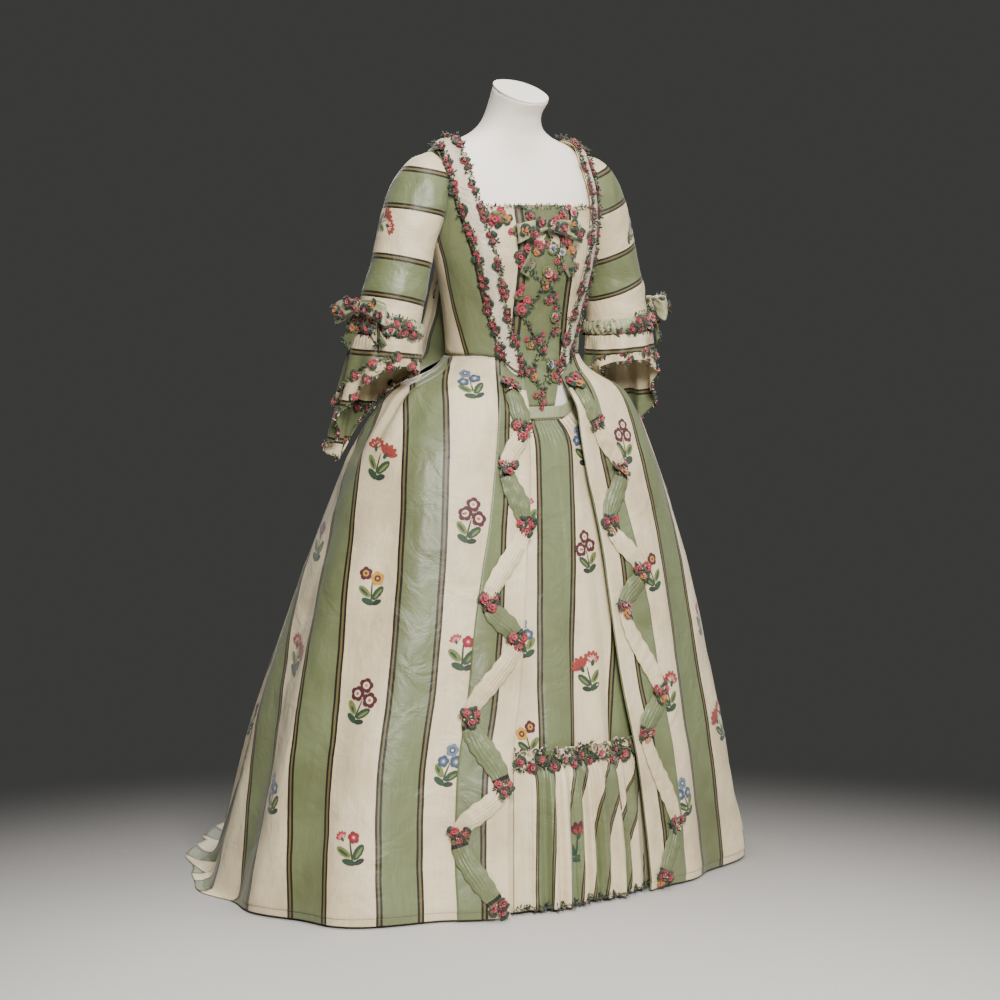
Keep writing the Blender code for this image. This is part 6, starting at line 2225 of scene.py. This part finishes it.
@dataclass
class Sleeve:
    """One sleeve with its ruched band and two frills."""

    side: int
    word: str
    armhole_out: float = 0.0071
    columns: int = 16
    waves: int = 9
    long_side: float = 20.0

    def armhole_point(self, around: float) -> Point:
        """Returns a point of the first ring, which follows the body round the armhole."""
        angle = math.radians(around)
        y = ARMHOLE_MIDDLE[0] + ARMHOLE_HALF[0] * math.cos(angle)
        height = ARMHOLE_MIDDLE[1] + ARMHOLE_HALF[1] * math.sin(angle)
        _, front, back = torso_at(height)
        away = ((front + back) / 2 - y) / ((back - front) / 2)
        turn = math.degrees(math.acos(math.copysign(min(abs(away), 1.0) ** (OVAL_POWER / 2), away)))
        return torso_point(self.side, turn, height, self.armhole_out)

    def tube(self) -> Cloth:
        """Returns the sleeve."""
        angles = [360 * i / self.columns for i in range(self.columns)]
        rows = [[self.armhole_point(angle) for angle in angles]]
        for place in range(7):
            rows.append([sleeve_point(self.side, place, angle) for angle in angles])
        sheet = Cloth("sleeve_silk_" + self.word, np.array(rows), closed=True).finer(9, 6)
        sheet = sheet.pushed(0.0008)
        points = sheet.points
        share = np.linspace(0, 1, len(points))[:, None]
        bend = np.exp(-((share - 0.72) / 0.14) ** 2)
        level = eased(0.0, 0.10, share) * (1 - 0.9 * eased(0.90, 0.97, share))
        rings = rumple(points, (9, 9, 34), 33.0 + self.side)
        soft = rumple(points, (26, 26, 14), 37.0 + self.side)
        fine = rumple(points, (60, 60, 60), 43.0)
        return sheet.pushed((0.0024 * rings * (0.35 + bend) + 0.0014 * soft + 0.0006 * fine) * level)

    def cuff(self) -> Cloth:
        """Returns the ruched band round the end of the sleeve."""
        rows = []
        for place, out in ((4.80, 0.0038), (5.01, 0.0060), (5.22, 0.0070), (5.43, 0.0060),
                           (5.64, 0.0038)):
            rows.append([sleeve_point(self.side, place, 360 * i / 24, out) for i in range(24)])
        sheet = Cloth("cuff_silk_" + self.word, np.array(rows), closed=True).finer(8, 12)
        share = np.linspace(-1, 1, len(sheet.points))[:, None]
        around = np.linspace(0, 2 * math.pi, sheet.points.shape[1], endpoint=False)[None, :]
        gathers = np.sin(around * 34 + 2.0 * share + 1.3 * np.sin(around * 5))
        puckers = rumple(sheet.points, (90, 90, 60), 51.0)
        return sheet.pushed(0.0011 * gathers * (1 - 0.35 * share ** 2) + 0.0016 * puckers
                            + 0.0016 * (1 - share ** 2))

    def frill(self, cut: RuffleCut) -> Cloth:
        """Returns a frill, short at the inner elbow and long behind it."""
        rows = []
        steps = (0.0, 0.12, 0.3, 0.48, 0.65, 0.83, 1.0)
        columns = 72
        for share in steps:
            row = []
            for i in range(columns):
                around = 360 * i / columns
                lean = 0.5 + 0.5 * math.cos(math.radians(around - self.long_side))
                drop = share * (cut.shortest + (cut.longest - cut.shortest) * lean ** 1.6)
                start = sleeve_point(1, cut.start, around, cut.out)
                middle = (sleeve_point(1, cut.start, 90.0) + sleeve_point(1, cut.start, 270.0)) / 2
                spoke = (start - middle) * (1, 1, 0)
                wave = math.sin(math.radians(around * self.waves))
                spread = 1 + 1.2 * drop + (drop + 0.02 * share) * wave
                point = middle + spoke * spread + np.array((0.10, 0.10, 0.0)) * drop
                point[2] = start[2] - drop
                row.append(self.off_the_gown(point, cut.off_gown) * (self.side, 1, 1))
            rows.append(row)
        sheet = Cloth("ruffle_" + cut.name + "_silk_" + self.word, np.array(rows),
                      closed=True).finer(6, 3)
        sheet = sheet.pushed(0.0007)
        share = np.linspace(0, 1, len(sheet.points))[:, None]
        around = np.linspace(0, 2 * math.pi, sheet.points.shape[1], endpoint=False)[None, :]
        fine = np.sin(around * 46 + 1.5 * np.sin(around * 7))
        gathers = 0.0010 * fine * np.exp(-(share / 0.30) ** 2)
        soft = 0.0012 * rumple(sheet.points, (40, 40, 16), 57.0) * (0.3 + share)
        return sheet.pushed(gathers + soft)

    @staticmethod
    def off_the_gown(point: Point, gap: float) -> Point:
        """Returns the point, pushed straight out from the axis where it would be in the skirt."""
        turn = math.degrees(math.atan2(point[0], -point[1]))
        if point[2] > SIDE_WAIST or turn < 0:
            return point
        least = max(gown_radius(RIGHT, turn, point[2]), gown_radius(LEFT, turn, point[2]))
        least += HIP_PLEAT_DEPTH + CLOTH_WALL + gap
        distance = math.hypot(point[0], point[1])
        if distance >= least:
            return point
        return point * (least / distance, least / distance, 1)

    def dress(self, wardrobe: Wardrobe) -> None:
        """Builds the sleeve, its band and its frills."""
        chance = random.Random(90 + self.side)
        tube = self.tube()
        silk = wardrobe.striped("striped silk of the sleeve " + self.word, 0.0)
        around = tube.around()
        first, slant = SLEEVE_STRIPE[self.side]
        places = first - around[..., 2] - slant * (0.28 - np.abs(around[..., 0]))
        piece = tube.build(silk, "sleeve_" + self.word, places=places)
        sprigs = self.sleeve_sprigs(tube).build(wardrobe.floss, "striped_silk")
        tube.declare(piece, Held.STRETCHED, ["bodice_front_silk_" + self.word], [sprigs])
        cuff = self.cuff()
        band = cuff.build(wardrobe.pale_green, "cuff_band_" + self.word, wall=FRILL_WALL)
        parts = self.cuff_flowers(cuff, chance, wardrobe)
        cuff.declare(band, Held.GATHERED, [piece.name], parts)
        for cut in (UPPER_RUFFLE, LOWER_RUFFLE):
            sheet = self.frill(cut)
            frill_silk = wardrobe.striped(f"striped silk of the {cut.name} frill {self.word}",
                                          cut.stripe_start)
            frill = sheet.build(frill_silk, f"ruffle_{cut.name}_{self.word}", wall=FRILL_WALL,
                                stripes=StripeRun.ROUND_PIECE)
            fringe = Trimming(f"ruffle_{cut.name}_fringe_{self.word}")
            fringe.fringe(fine_spots(sheet, len(sheet.points) - 1.4, 0.0072), 0.0085, FLY_DYES, chance)
            roses = Trimming(f"ruffle_{cut.name}_flowers_{self.word}", wall=FLOWER_WALL)
            for k, spot in enumerate(lifted(fine_spots(sheet, len(sheet.points) - 2.2, 0.046), 0.0012)):
                roses.rose(spot, chance.uniform(0.0115, 0.015), RED_DYES[k % len(RED_DYES)], chance)
                roses.leaf(spot, chance.uniform(0, ANY_TURN), 0.012)
                roses.leaf(spot, chance.uniform(0, ANY_TURN), 0.012)
            made = [fringe.build(wardrobe.floss, "pale_green_silk"),
                    roses.build(wardrobe.floss, "cream_silk")]
            sheet.declare(frill, Held.GATHERED, [piece.name], made)

    def sleeve_sprigs(self, tube: Cloth) -> Trimming:
        """Returns the sprigs woven in the sleeve's cream stripes."""
        made = Trimming("sleeve_sprigs_" + self.word)
        arcs = tube.arcs()
        kinds = (Sprig.CARNATION, Sprig.AURICULA, Sprig.BLUEBELL)
        j = len(tube.points) // 2
        length = float(arcs[j, -1])
        for k in range(3):
            around = k / 3 + (0.27 if self.side < 0 else 0.05)
            spot = tube.points[j, int(around * tube.points.shape[1]) % tube.points.shape[1]]
            made.brocade(tube, around * length, float(spot[2]) + 0.012, kinds[k], 0.9, 80 * self.side,
                         arcs)
        return made

    def cuff_flowers(self, cuff: Cloth, chance: random.Random, wardrobe: Wardrobe) -> list:
        """Builds the roses and the fly fringe of the ruched band, and returns the pieces."""
        flowers = Trimming("cuff_flowers_" + self.word, wall=FLOWER_WALL)
        fringe = Trimming("cuff_fringe_" + self.word)
        rows = len(cuff.points)
        for row, start in ((rows * 0.33, 0.0), (rows * 0.70, 0.011)):
            for k, spot in enumerate(lifted(fine_spots(cuff, row, 0.022, start), 0.002)):
                flowers.heading_rose(spot, k, (0.0125, 0.0175), chance)
        for row in (1.0, rows / 2, rows - 2.0):
            fringe.fringe(lifted(fine_spots(cuff, row, 0.0072), 0.001), 0.0105, DARK_DYES, chance)
        return wardrobe.sewn_on(flowers, fringe)


@dataclass
class Bow:
    """A tied ribbon bow: two loops, a knot over them and two tails."""

    name: str
    centre: tuple[float, float, float]
    facing: tuple[float, float, float]
    reach: float
    height: float
    tail: float
    loops_out: float

    def frame(self) -> tuple[Point, Point, Point, Point]:
        """Returns its centre, and its directions across, up and out."""
        facing = unit(np.array(self.facing))
        across = unit(np.cross((0.0, 0.0, 1.0), facing))
        return np.array(self.centre), across, np.cross(facing, across), facing

    def opening(self, reach: float) -> tuple[float, float, float]:
        """Finds the loops' shape at a share of their reach.

        Args:
            reach: From -1 at one loop's tip to 1 at the other's.

        Returns:
            How far the loop is open, half its width, and its droop.
        """
        open_at = abs(reach) ** 0.8
        half = self.height * (0.15 + 0.36 * open_at * (1.12 - 0.30 * abs(reach)))
        return open_at, half, -0.42 * self.height * abs(reach) ** 2

    def loops(self) -> Cloth:
        """Returns the ring of ribbon that makes both loops."""
        centre, across, up, facing = self.frame()
        steps = 80
        rows = []
        for part in np.linspace(1, -1, 13):
            row = []
            for i in range(steps):
                angle = 2 * math.pi * i / steps
                reach = math.cos(angle)
                open_at, half, droop = self.opening(reach)
                along = self.reach * reach
                stand = 0.0075 + (0.004 + 0.011 * open_at) * math.sin(angle)
                crease = 0.0016 * math.sin(part * 7 + 2 * reach) * (1.25 - open_at)
                crease += 0.0010 * math.sin(part * 3 - 9 * reach)
                base = centre + across * along + facing * (stand + self.loops_out + crease)
                row.append(base + up * (droop + half * part))
            rows.append(row)
        return Cloth(self.name + "_loops_ribbon", np.array(rows), closed=True)

    def tails(self) -> Cloth:
        """Returns the ribbon whose two ends hang under the knot."""
        centre, across, up, facing = self.frame()
        rows = []
        shares = np.linspace(-1.0, 1.0, 57)
        for part in np.linspace(1, -1, 9):
            row = []
            for share in shares:
                drop = self.tail * abs(share) ** 1.1
                spread = self.tail * 0.62 * share
                stand = 0.0035 + 0.010 * abs(share) * (1 - abs(share))
                base = centre + across * spread - up * (drop + self.height * 0.10) + facing * stand
                side = unit(across + up * math.copysign(0.62, share)) * 0.011
                blend = ease(0.10, 0.34, abs(share))
                width = up * 0.009 * (1 - blend) + side * math.copysign(1, share) * blend
                if share < 0:
                    width = up * 0.009 * (1 - blend) - side * blend
                curl = 0.0012 * math.sin(part * 3 + share * 9)
                row.append(base + width * part + facing * curl)
            rows.append(row)
        return Cloth(self.name + "_tails_ribbon", np.array(rows))

    def knot(self, wardrobe: Wardrobe) -> bpy.types.Object:
        """Builds the knot: a short bolster of ribbon drawn in at its ends and creased."""
        centre, across, up, facing = self.frame()
        bpy.ops.object.select_all(action="DESELECT")
        bpy.ops.mesh.primitive_uv_sphere_add(segments=24, ring_count=14, radius=1.0)
        piece = bpy.context.object
        piece.name = piece.data.name = self.name + "_knot_ribbon"
        middle = centre + facing * (self.loops_out + 0.0169)
        for vertex in piece.data.vertices:
            x, y, z = vertex.co
            crease = 1 + 0.09 * math.sin(math.atan2(y, x) * 7 + z * 2)
            end = 1 - 0.35 * abs(z) ** 3
            vertex.co = (middle + across * x * 0.0082 * crease * end + facing * y * 0.0050 * crease * end
                         + up * z * self.height * 0.30)
        piece.data.materials.append(wardrobe.pale_green)
        layer = piece.data.uv_layers.active
        layer.name = "cloth"
        for loop in layer.data:
            loop.uv = (loop.uv[0] * 0.05, loop.uv[1] * 0.02)
        bpy.ops.object.mode_set(mode="EDIT")
        bpy.ops.mesh.select_all(action="SELECT")
        bpy.ops.mesh.normals_make_consistent(inside=False)
        bpy.ops.object.mode_set(mode="OBJECT")
        piece.data.shade_smooth()
        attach(piece, BODY)
        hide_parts(self.name + "_knot")
        return piece

    def dress(self, wardrobe: Wardrobe, rests_on: str) -> None:
        """Builds the bow with a rose and a tassel of floss on each tail."""
        loops = self.loops()
        ring = loops.build(wardrobe.pale_green, self.name + "_loops", wall=FRILL_WALL)
        knot = self.knot(wardrobe)
        tails = self.tails()
        silk = wardrobe.striped("striped silk of the " + self.name.replace("_", " "), 0.020)
        hung = tails.build(silk, self.name + "_tails", wall=FRILL_WALL)
        chance = random.Random(len(self.name) * 7)
        flowers = Trimming(self.name + "_flowers", wall=FLOWER_WALL)
        fringe = Trimming(self.name + "_fringe")
        arcs = tails.arcs()
        length = float(arcs[4, -1])
        for k, share in enumerate((0.06, 0.24, 0.76, 0.94)):
            spot = tails.spot(4, length * share, arcs)
            if spot.out @ self.frame()[3] < 0:
                spot = spot._replace(out=-spot.out)
            spot = spot._replace(point=spot.point + spot.out * 0.0015)
            if k in (1, 2):
                flowers.rose(spot, 0.013, ROSE_DYES[(k * 3) % len(ROSE_DYES)], chance)
                flowers.leaf(spot, chance.uniform(0, ANY_TURN), 0.012)
            else:
                for shift in (-0.006, 0.0, 0.006):
                    fringe.tuft(spot._replace(point=spot.point + spot.up * shift), 0.011,
                                FLY_DYES[k % len(FLY_DYES)], chance, 6)
        self.roses_over(flowers, fringe, chance)
        parts = wardrobe.sewn_on(flowers, fringe)
        loops.declare(ring, Held.FOLDED, [rests_on], [knot])
        tails.declare(hung, Held.HUNG, [rests_on], parts)

    def roses_over(self, flowers: Trimming, fringe: Trimming, chance: random.Random) -> None:
        """Adds the roses and knots of floss that are sewn over the loops."""
        centre, across, up, facing = self.frame()
        for k, (along, high) in enumerate(((-0.86, 0.1), (-0.60, -0.7), (-0.34, 0.5), (0.0, -0.6),
                                           (0.02, 0.9), (0.36, -0.5), (0.62, 0.5), (0.88, -0.3))):
            open_at, half, droop = self.opening(along)
            out = 0.0085 + (0.004 + 0.011 * open_at) * math.sqrt(1 - along * along)
            if abs(along) < 0.1:
                out += 0.0045
            rise = half * high + droop
            point = centre + across * self.reach * along + up * rise + facing * (out + self.loops_out)
            spot = Spot(point, across, up, facing)
            dyes = ROSE_DYES[3] if k in (0, 6) else RED_DYES[k % len(RED_DYES)]
            flowers.rose(spot, chance.uniform(0.013, 0.0175), dyes, chance)
            for _ in range(3):
                flowers.leaf(spot, chance.uniform(0, ANY_TURN), 0.0135, Dye.MOSS)
            fringe.tuft(spot, 0.0115, DARK_DYES[k % len(DARK_DYES)], chance, 8)


def all_bows() -> list[tuple[Bow, str]]:
    """Returns the three bows with the piece that each rests on."""
    made = [(Bow("stomacher_bow", (0.0, -0.1133, 1.185), (0.0, -1.0, 0.12), 0.066, 0.036, 0.082,
                 0.0065), "stomacher_silk")]
    for side, word in SIDES:
        inner_x, _, outer_x, _, _, back = sleeve_at(4.9)
        turn = math.radians(20.0)
        out = np.array([math.cos(turn), -math.sin(turn)])
        spot = np.array([(inner_x + outer_x) / 2, back]) + out * ((outer_x - inner_x) / 2 + 0.0041)
        made.append((Bow("sleeve_bow_" + word, (side * spot[0], spot[1], 1.048),
                         (side * out[0], out[1], 0.05), 0.058, 0.040, 0.070, 0.0077),
                     "sleeve_silk_" + word))
    return made


@dataclass
class DressForm:
    """The limbless form, its neck cap and its stand."""

    levels: int = 2

    def smooth_copy(self, node: str, name: str, finish: bpy.types.Material, rim_from: float) -> None:
        """Builds a smooth piece from a node of the part.

        Args:
            node: The node it stands for.
            name: The piece's name.
            finish: Its material.
            rim_from: Height above which level edges stay crisp.
        """
        bpy.ops.object.select_all(action="DESELECT")
        mesh = frame_node(node).data.copy()
        mesh.name = name
        shape = bmesh.new()
        shape.from_mesh(mesh)
        bmesh.ops.remove_doubles(shape, verts=shape.verts[:], dist=1e-5)
        bmesh.ops.join_triangles(shape, faces=shape.faces[:], angle_face_threshold=0.7,
                                 angle_shape_threshold=3.14)
        bmesh.ops.recalc_face_normals(shape, faces=shape.faces[:])
        crease = shape.edges.layers.float.new("crease_edge")
        for edge in shape.edges:
            faces = edge.link_faces
            if len(faces) == 2 and faces[0].normal.angle(faces[1].normal, 0.0) > 0.75:
                if edge.verts[0].co.z > rim_from and edge.verts[1].co.z > rim_from:
                    edge[crease] = 0.85
        shape.to_mesh(mesh)
        shape.free()
        mesh.materials.clear()
        piece = place_piece(name, mesh, finish)
        rounder = piece.modifiers.new("smooth skin", "SUBSURF")
        rounder.levels = rounder.render_levels = self.levels
        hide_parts(node)

    def dress(self, wardrobe: Wardrobe) -> None:
        """Builds the form and finishes the stand."""
        self.smooth_copy("form_torso", "form_cover", wardrobe.form, 1.38)
        self.smooth_copy("neck_cap", "neck_cap_cover", wardrobe.form, 0.0)
        for node in ("stand_base", "stand_pole"):
            stand = frame_node(node)
            stand.data.materials.clear()
            stand.data.materials.append(wardrobe.steel)


# The lamps are a warm white
LAMP_COLOUR = (1.0, 0.976, 0.946)


@dataclass
class Studio:
    """A plain pale floor, soft lights, and the camera at the photograph's angle."""

    azimuth: float = 32.0
    distance: float = 4.594
    eye: float = 1.157
    dip: float = 5.80
    lens: float = 91.2
    pan: float = 0.25
    floor_middle: tuple[float, float] = (-0.64, -1.02)
    floor_radius: float = 2.4

    def floor(self) -> None:
        """Lays a round floor that is pale under the object and fades to the grey beyond it."""
        bpy.ops.object.select_all(action="DESELECT")
        bpy.ops.mesh.primitive_circle_add(vertices=96, radius=self.floor_radius, fill_type="NGON",
                                          location=(*self.floor_middle, -0.001))
        ground = bpy.context.object
        ground.name = "studio_floor"
        bpy.ops.object.transform_apply(location=True)
        made, shader = new_material("matt studio floor")
        tree = made.node_tree
        where = add_node(tree, "ShaderNodeTexCoord")
        far = add_node(tree, "ShaderNodeVectorMath",
                       {"operation": "DISTANCE", 1: (*self.floor_middle, 0.0)},
                       {0: where.outputs["Object"]})
        share = add_node(tree, "ShaderNodeMapRange", {1: 0.5, 2: 2.25, 3: 1.0, 4: 0.0,
                                                      "interpolation_type": "SMOOTHSTEP"},
                         {0: far.outputs["Value"]})
        tree.links.new(share.outputs[0], shader.inputs["Alpha"])
        shader.inputs["Base Color"].default_value = linear("cfccc8")
        shader.inputs["Roughness"].default_value = 0.85
        ground.data.materials.append(made)

    @staticmethod
    def lamp(name: str, place: tuple, aim: tuple, size: float, power: float) -> None:
        """Hangs one square soft light."""
        data = bpy.data.lights.new(name, "AREA")
        data.size = size
        data.energy = power
        data.color = LAMP_COLOUR
        obj = bpy.data.objects.new(name, data)
        bpy.context.scene.collection.objects.link(obj)
        obj.location = place
        obj.rotation_euler = (Vector(aim) - Vector(place)).to_track_quat("-Z", "Y").to_euler()

    def light(self) -> None:
        """Sets the lights and the grey surround."""
        world = bpy.data.worlds.new("grey surround")
        bpy.context.scene.world = world
        world.use_nodes = True
        back = world.node_tree.nodes["Background"]
        back.inputs["Color"].default_value = linear("3f3f3e")
        back.inputs["Strength"].default_value = 1.0
        self.lamp("key", (-1.5, -3.9, 3.1), (0, 0, 0.85), 1.4, 370)
        self.lamp("fill", (2.9, -2.6, 2.0), (0, 0, 0.7), 2.2, 38)
        self.lamp("top", (0.2, -0.4, 3.8), (0, 0, 0.6), 1.6, 85)
        self.lamp("back", (1.4, 3.6, 2.4), (0, 0, 0.8), 2.0, 55)

    def camera(self) -> None:
        """Stands the camera where the photograph was taken from."""
        angle = math.radians(self.azimuth)
        data = bpy.data.cameras.new("photograph")
        data.lens = self.lens
        data.sensor_width = 36.0
        obj = bpy.data.objects.new("photograph", data)
        bpy.context.scene.collection.objects.link(obj)
        obj.location = (-math.sin(angle) * self.distance, -math.cos(angle) * self.distance, self.eye)
        obj.rotation_euler = (math.radians(90 - self.dip), 0.0, -math.radians(self.azimuth - self.pan))
        bpy.context.scene.camera = obj


FRAME: dict = {}


def frame_node(name: str) -> bpy.types.Object:
    """Returns the object of one CAD node."""
    return FRAME["nodes"][name]


def main() -> None:
    """Builds the studio, the form and the robe in order."""
    logging.basicConfig(level=logging.INFO, format="%(name)s %(message)s")
    FRAME.update(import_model())
    bpy.ops.object.select_all(action="DESELECT")
    studio = Studio()
    studio.camera()
    studio.floor()
    studio.light()
    wardrobe = Wardrobe()
    DressForm().dress(wardrobe)
    LOG.info("dress form done")
    Petticoat().dress(wardrobe)
    LOG.info("petticoat done")
    Bodice().dress(wardrobe)
    LOG.info("bodice done")
    for side, word in SIDES:
        Sleeve(side, word).dress(wardrobe)
        LOG.info("sleeve %s done", word)
    for bow, under in all_bows():
        bow.dress(wardrobe, under)
        LOG.info("%s done", bow.name)
    for side, word in SIDES:
        skirt = Skirt(side, word)
        skirt.drape()
        skirt.dress(wardrobe)
        LOG.info("skirt %s done", word)
    SackBack().dress(wardrobe)
    LOG.info("sack back done")
    bpy.context.view_layer.update()


if __name__ == "__main__":
    main()
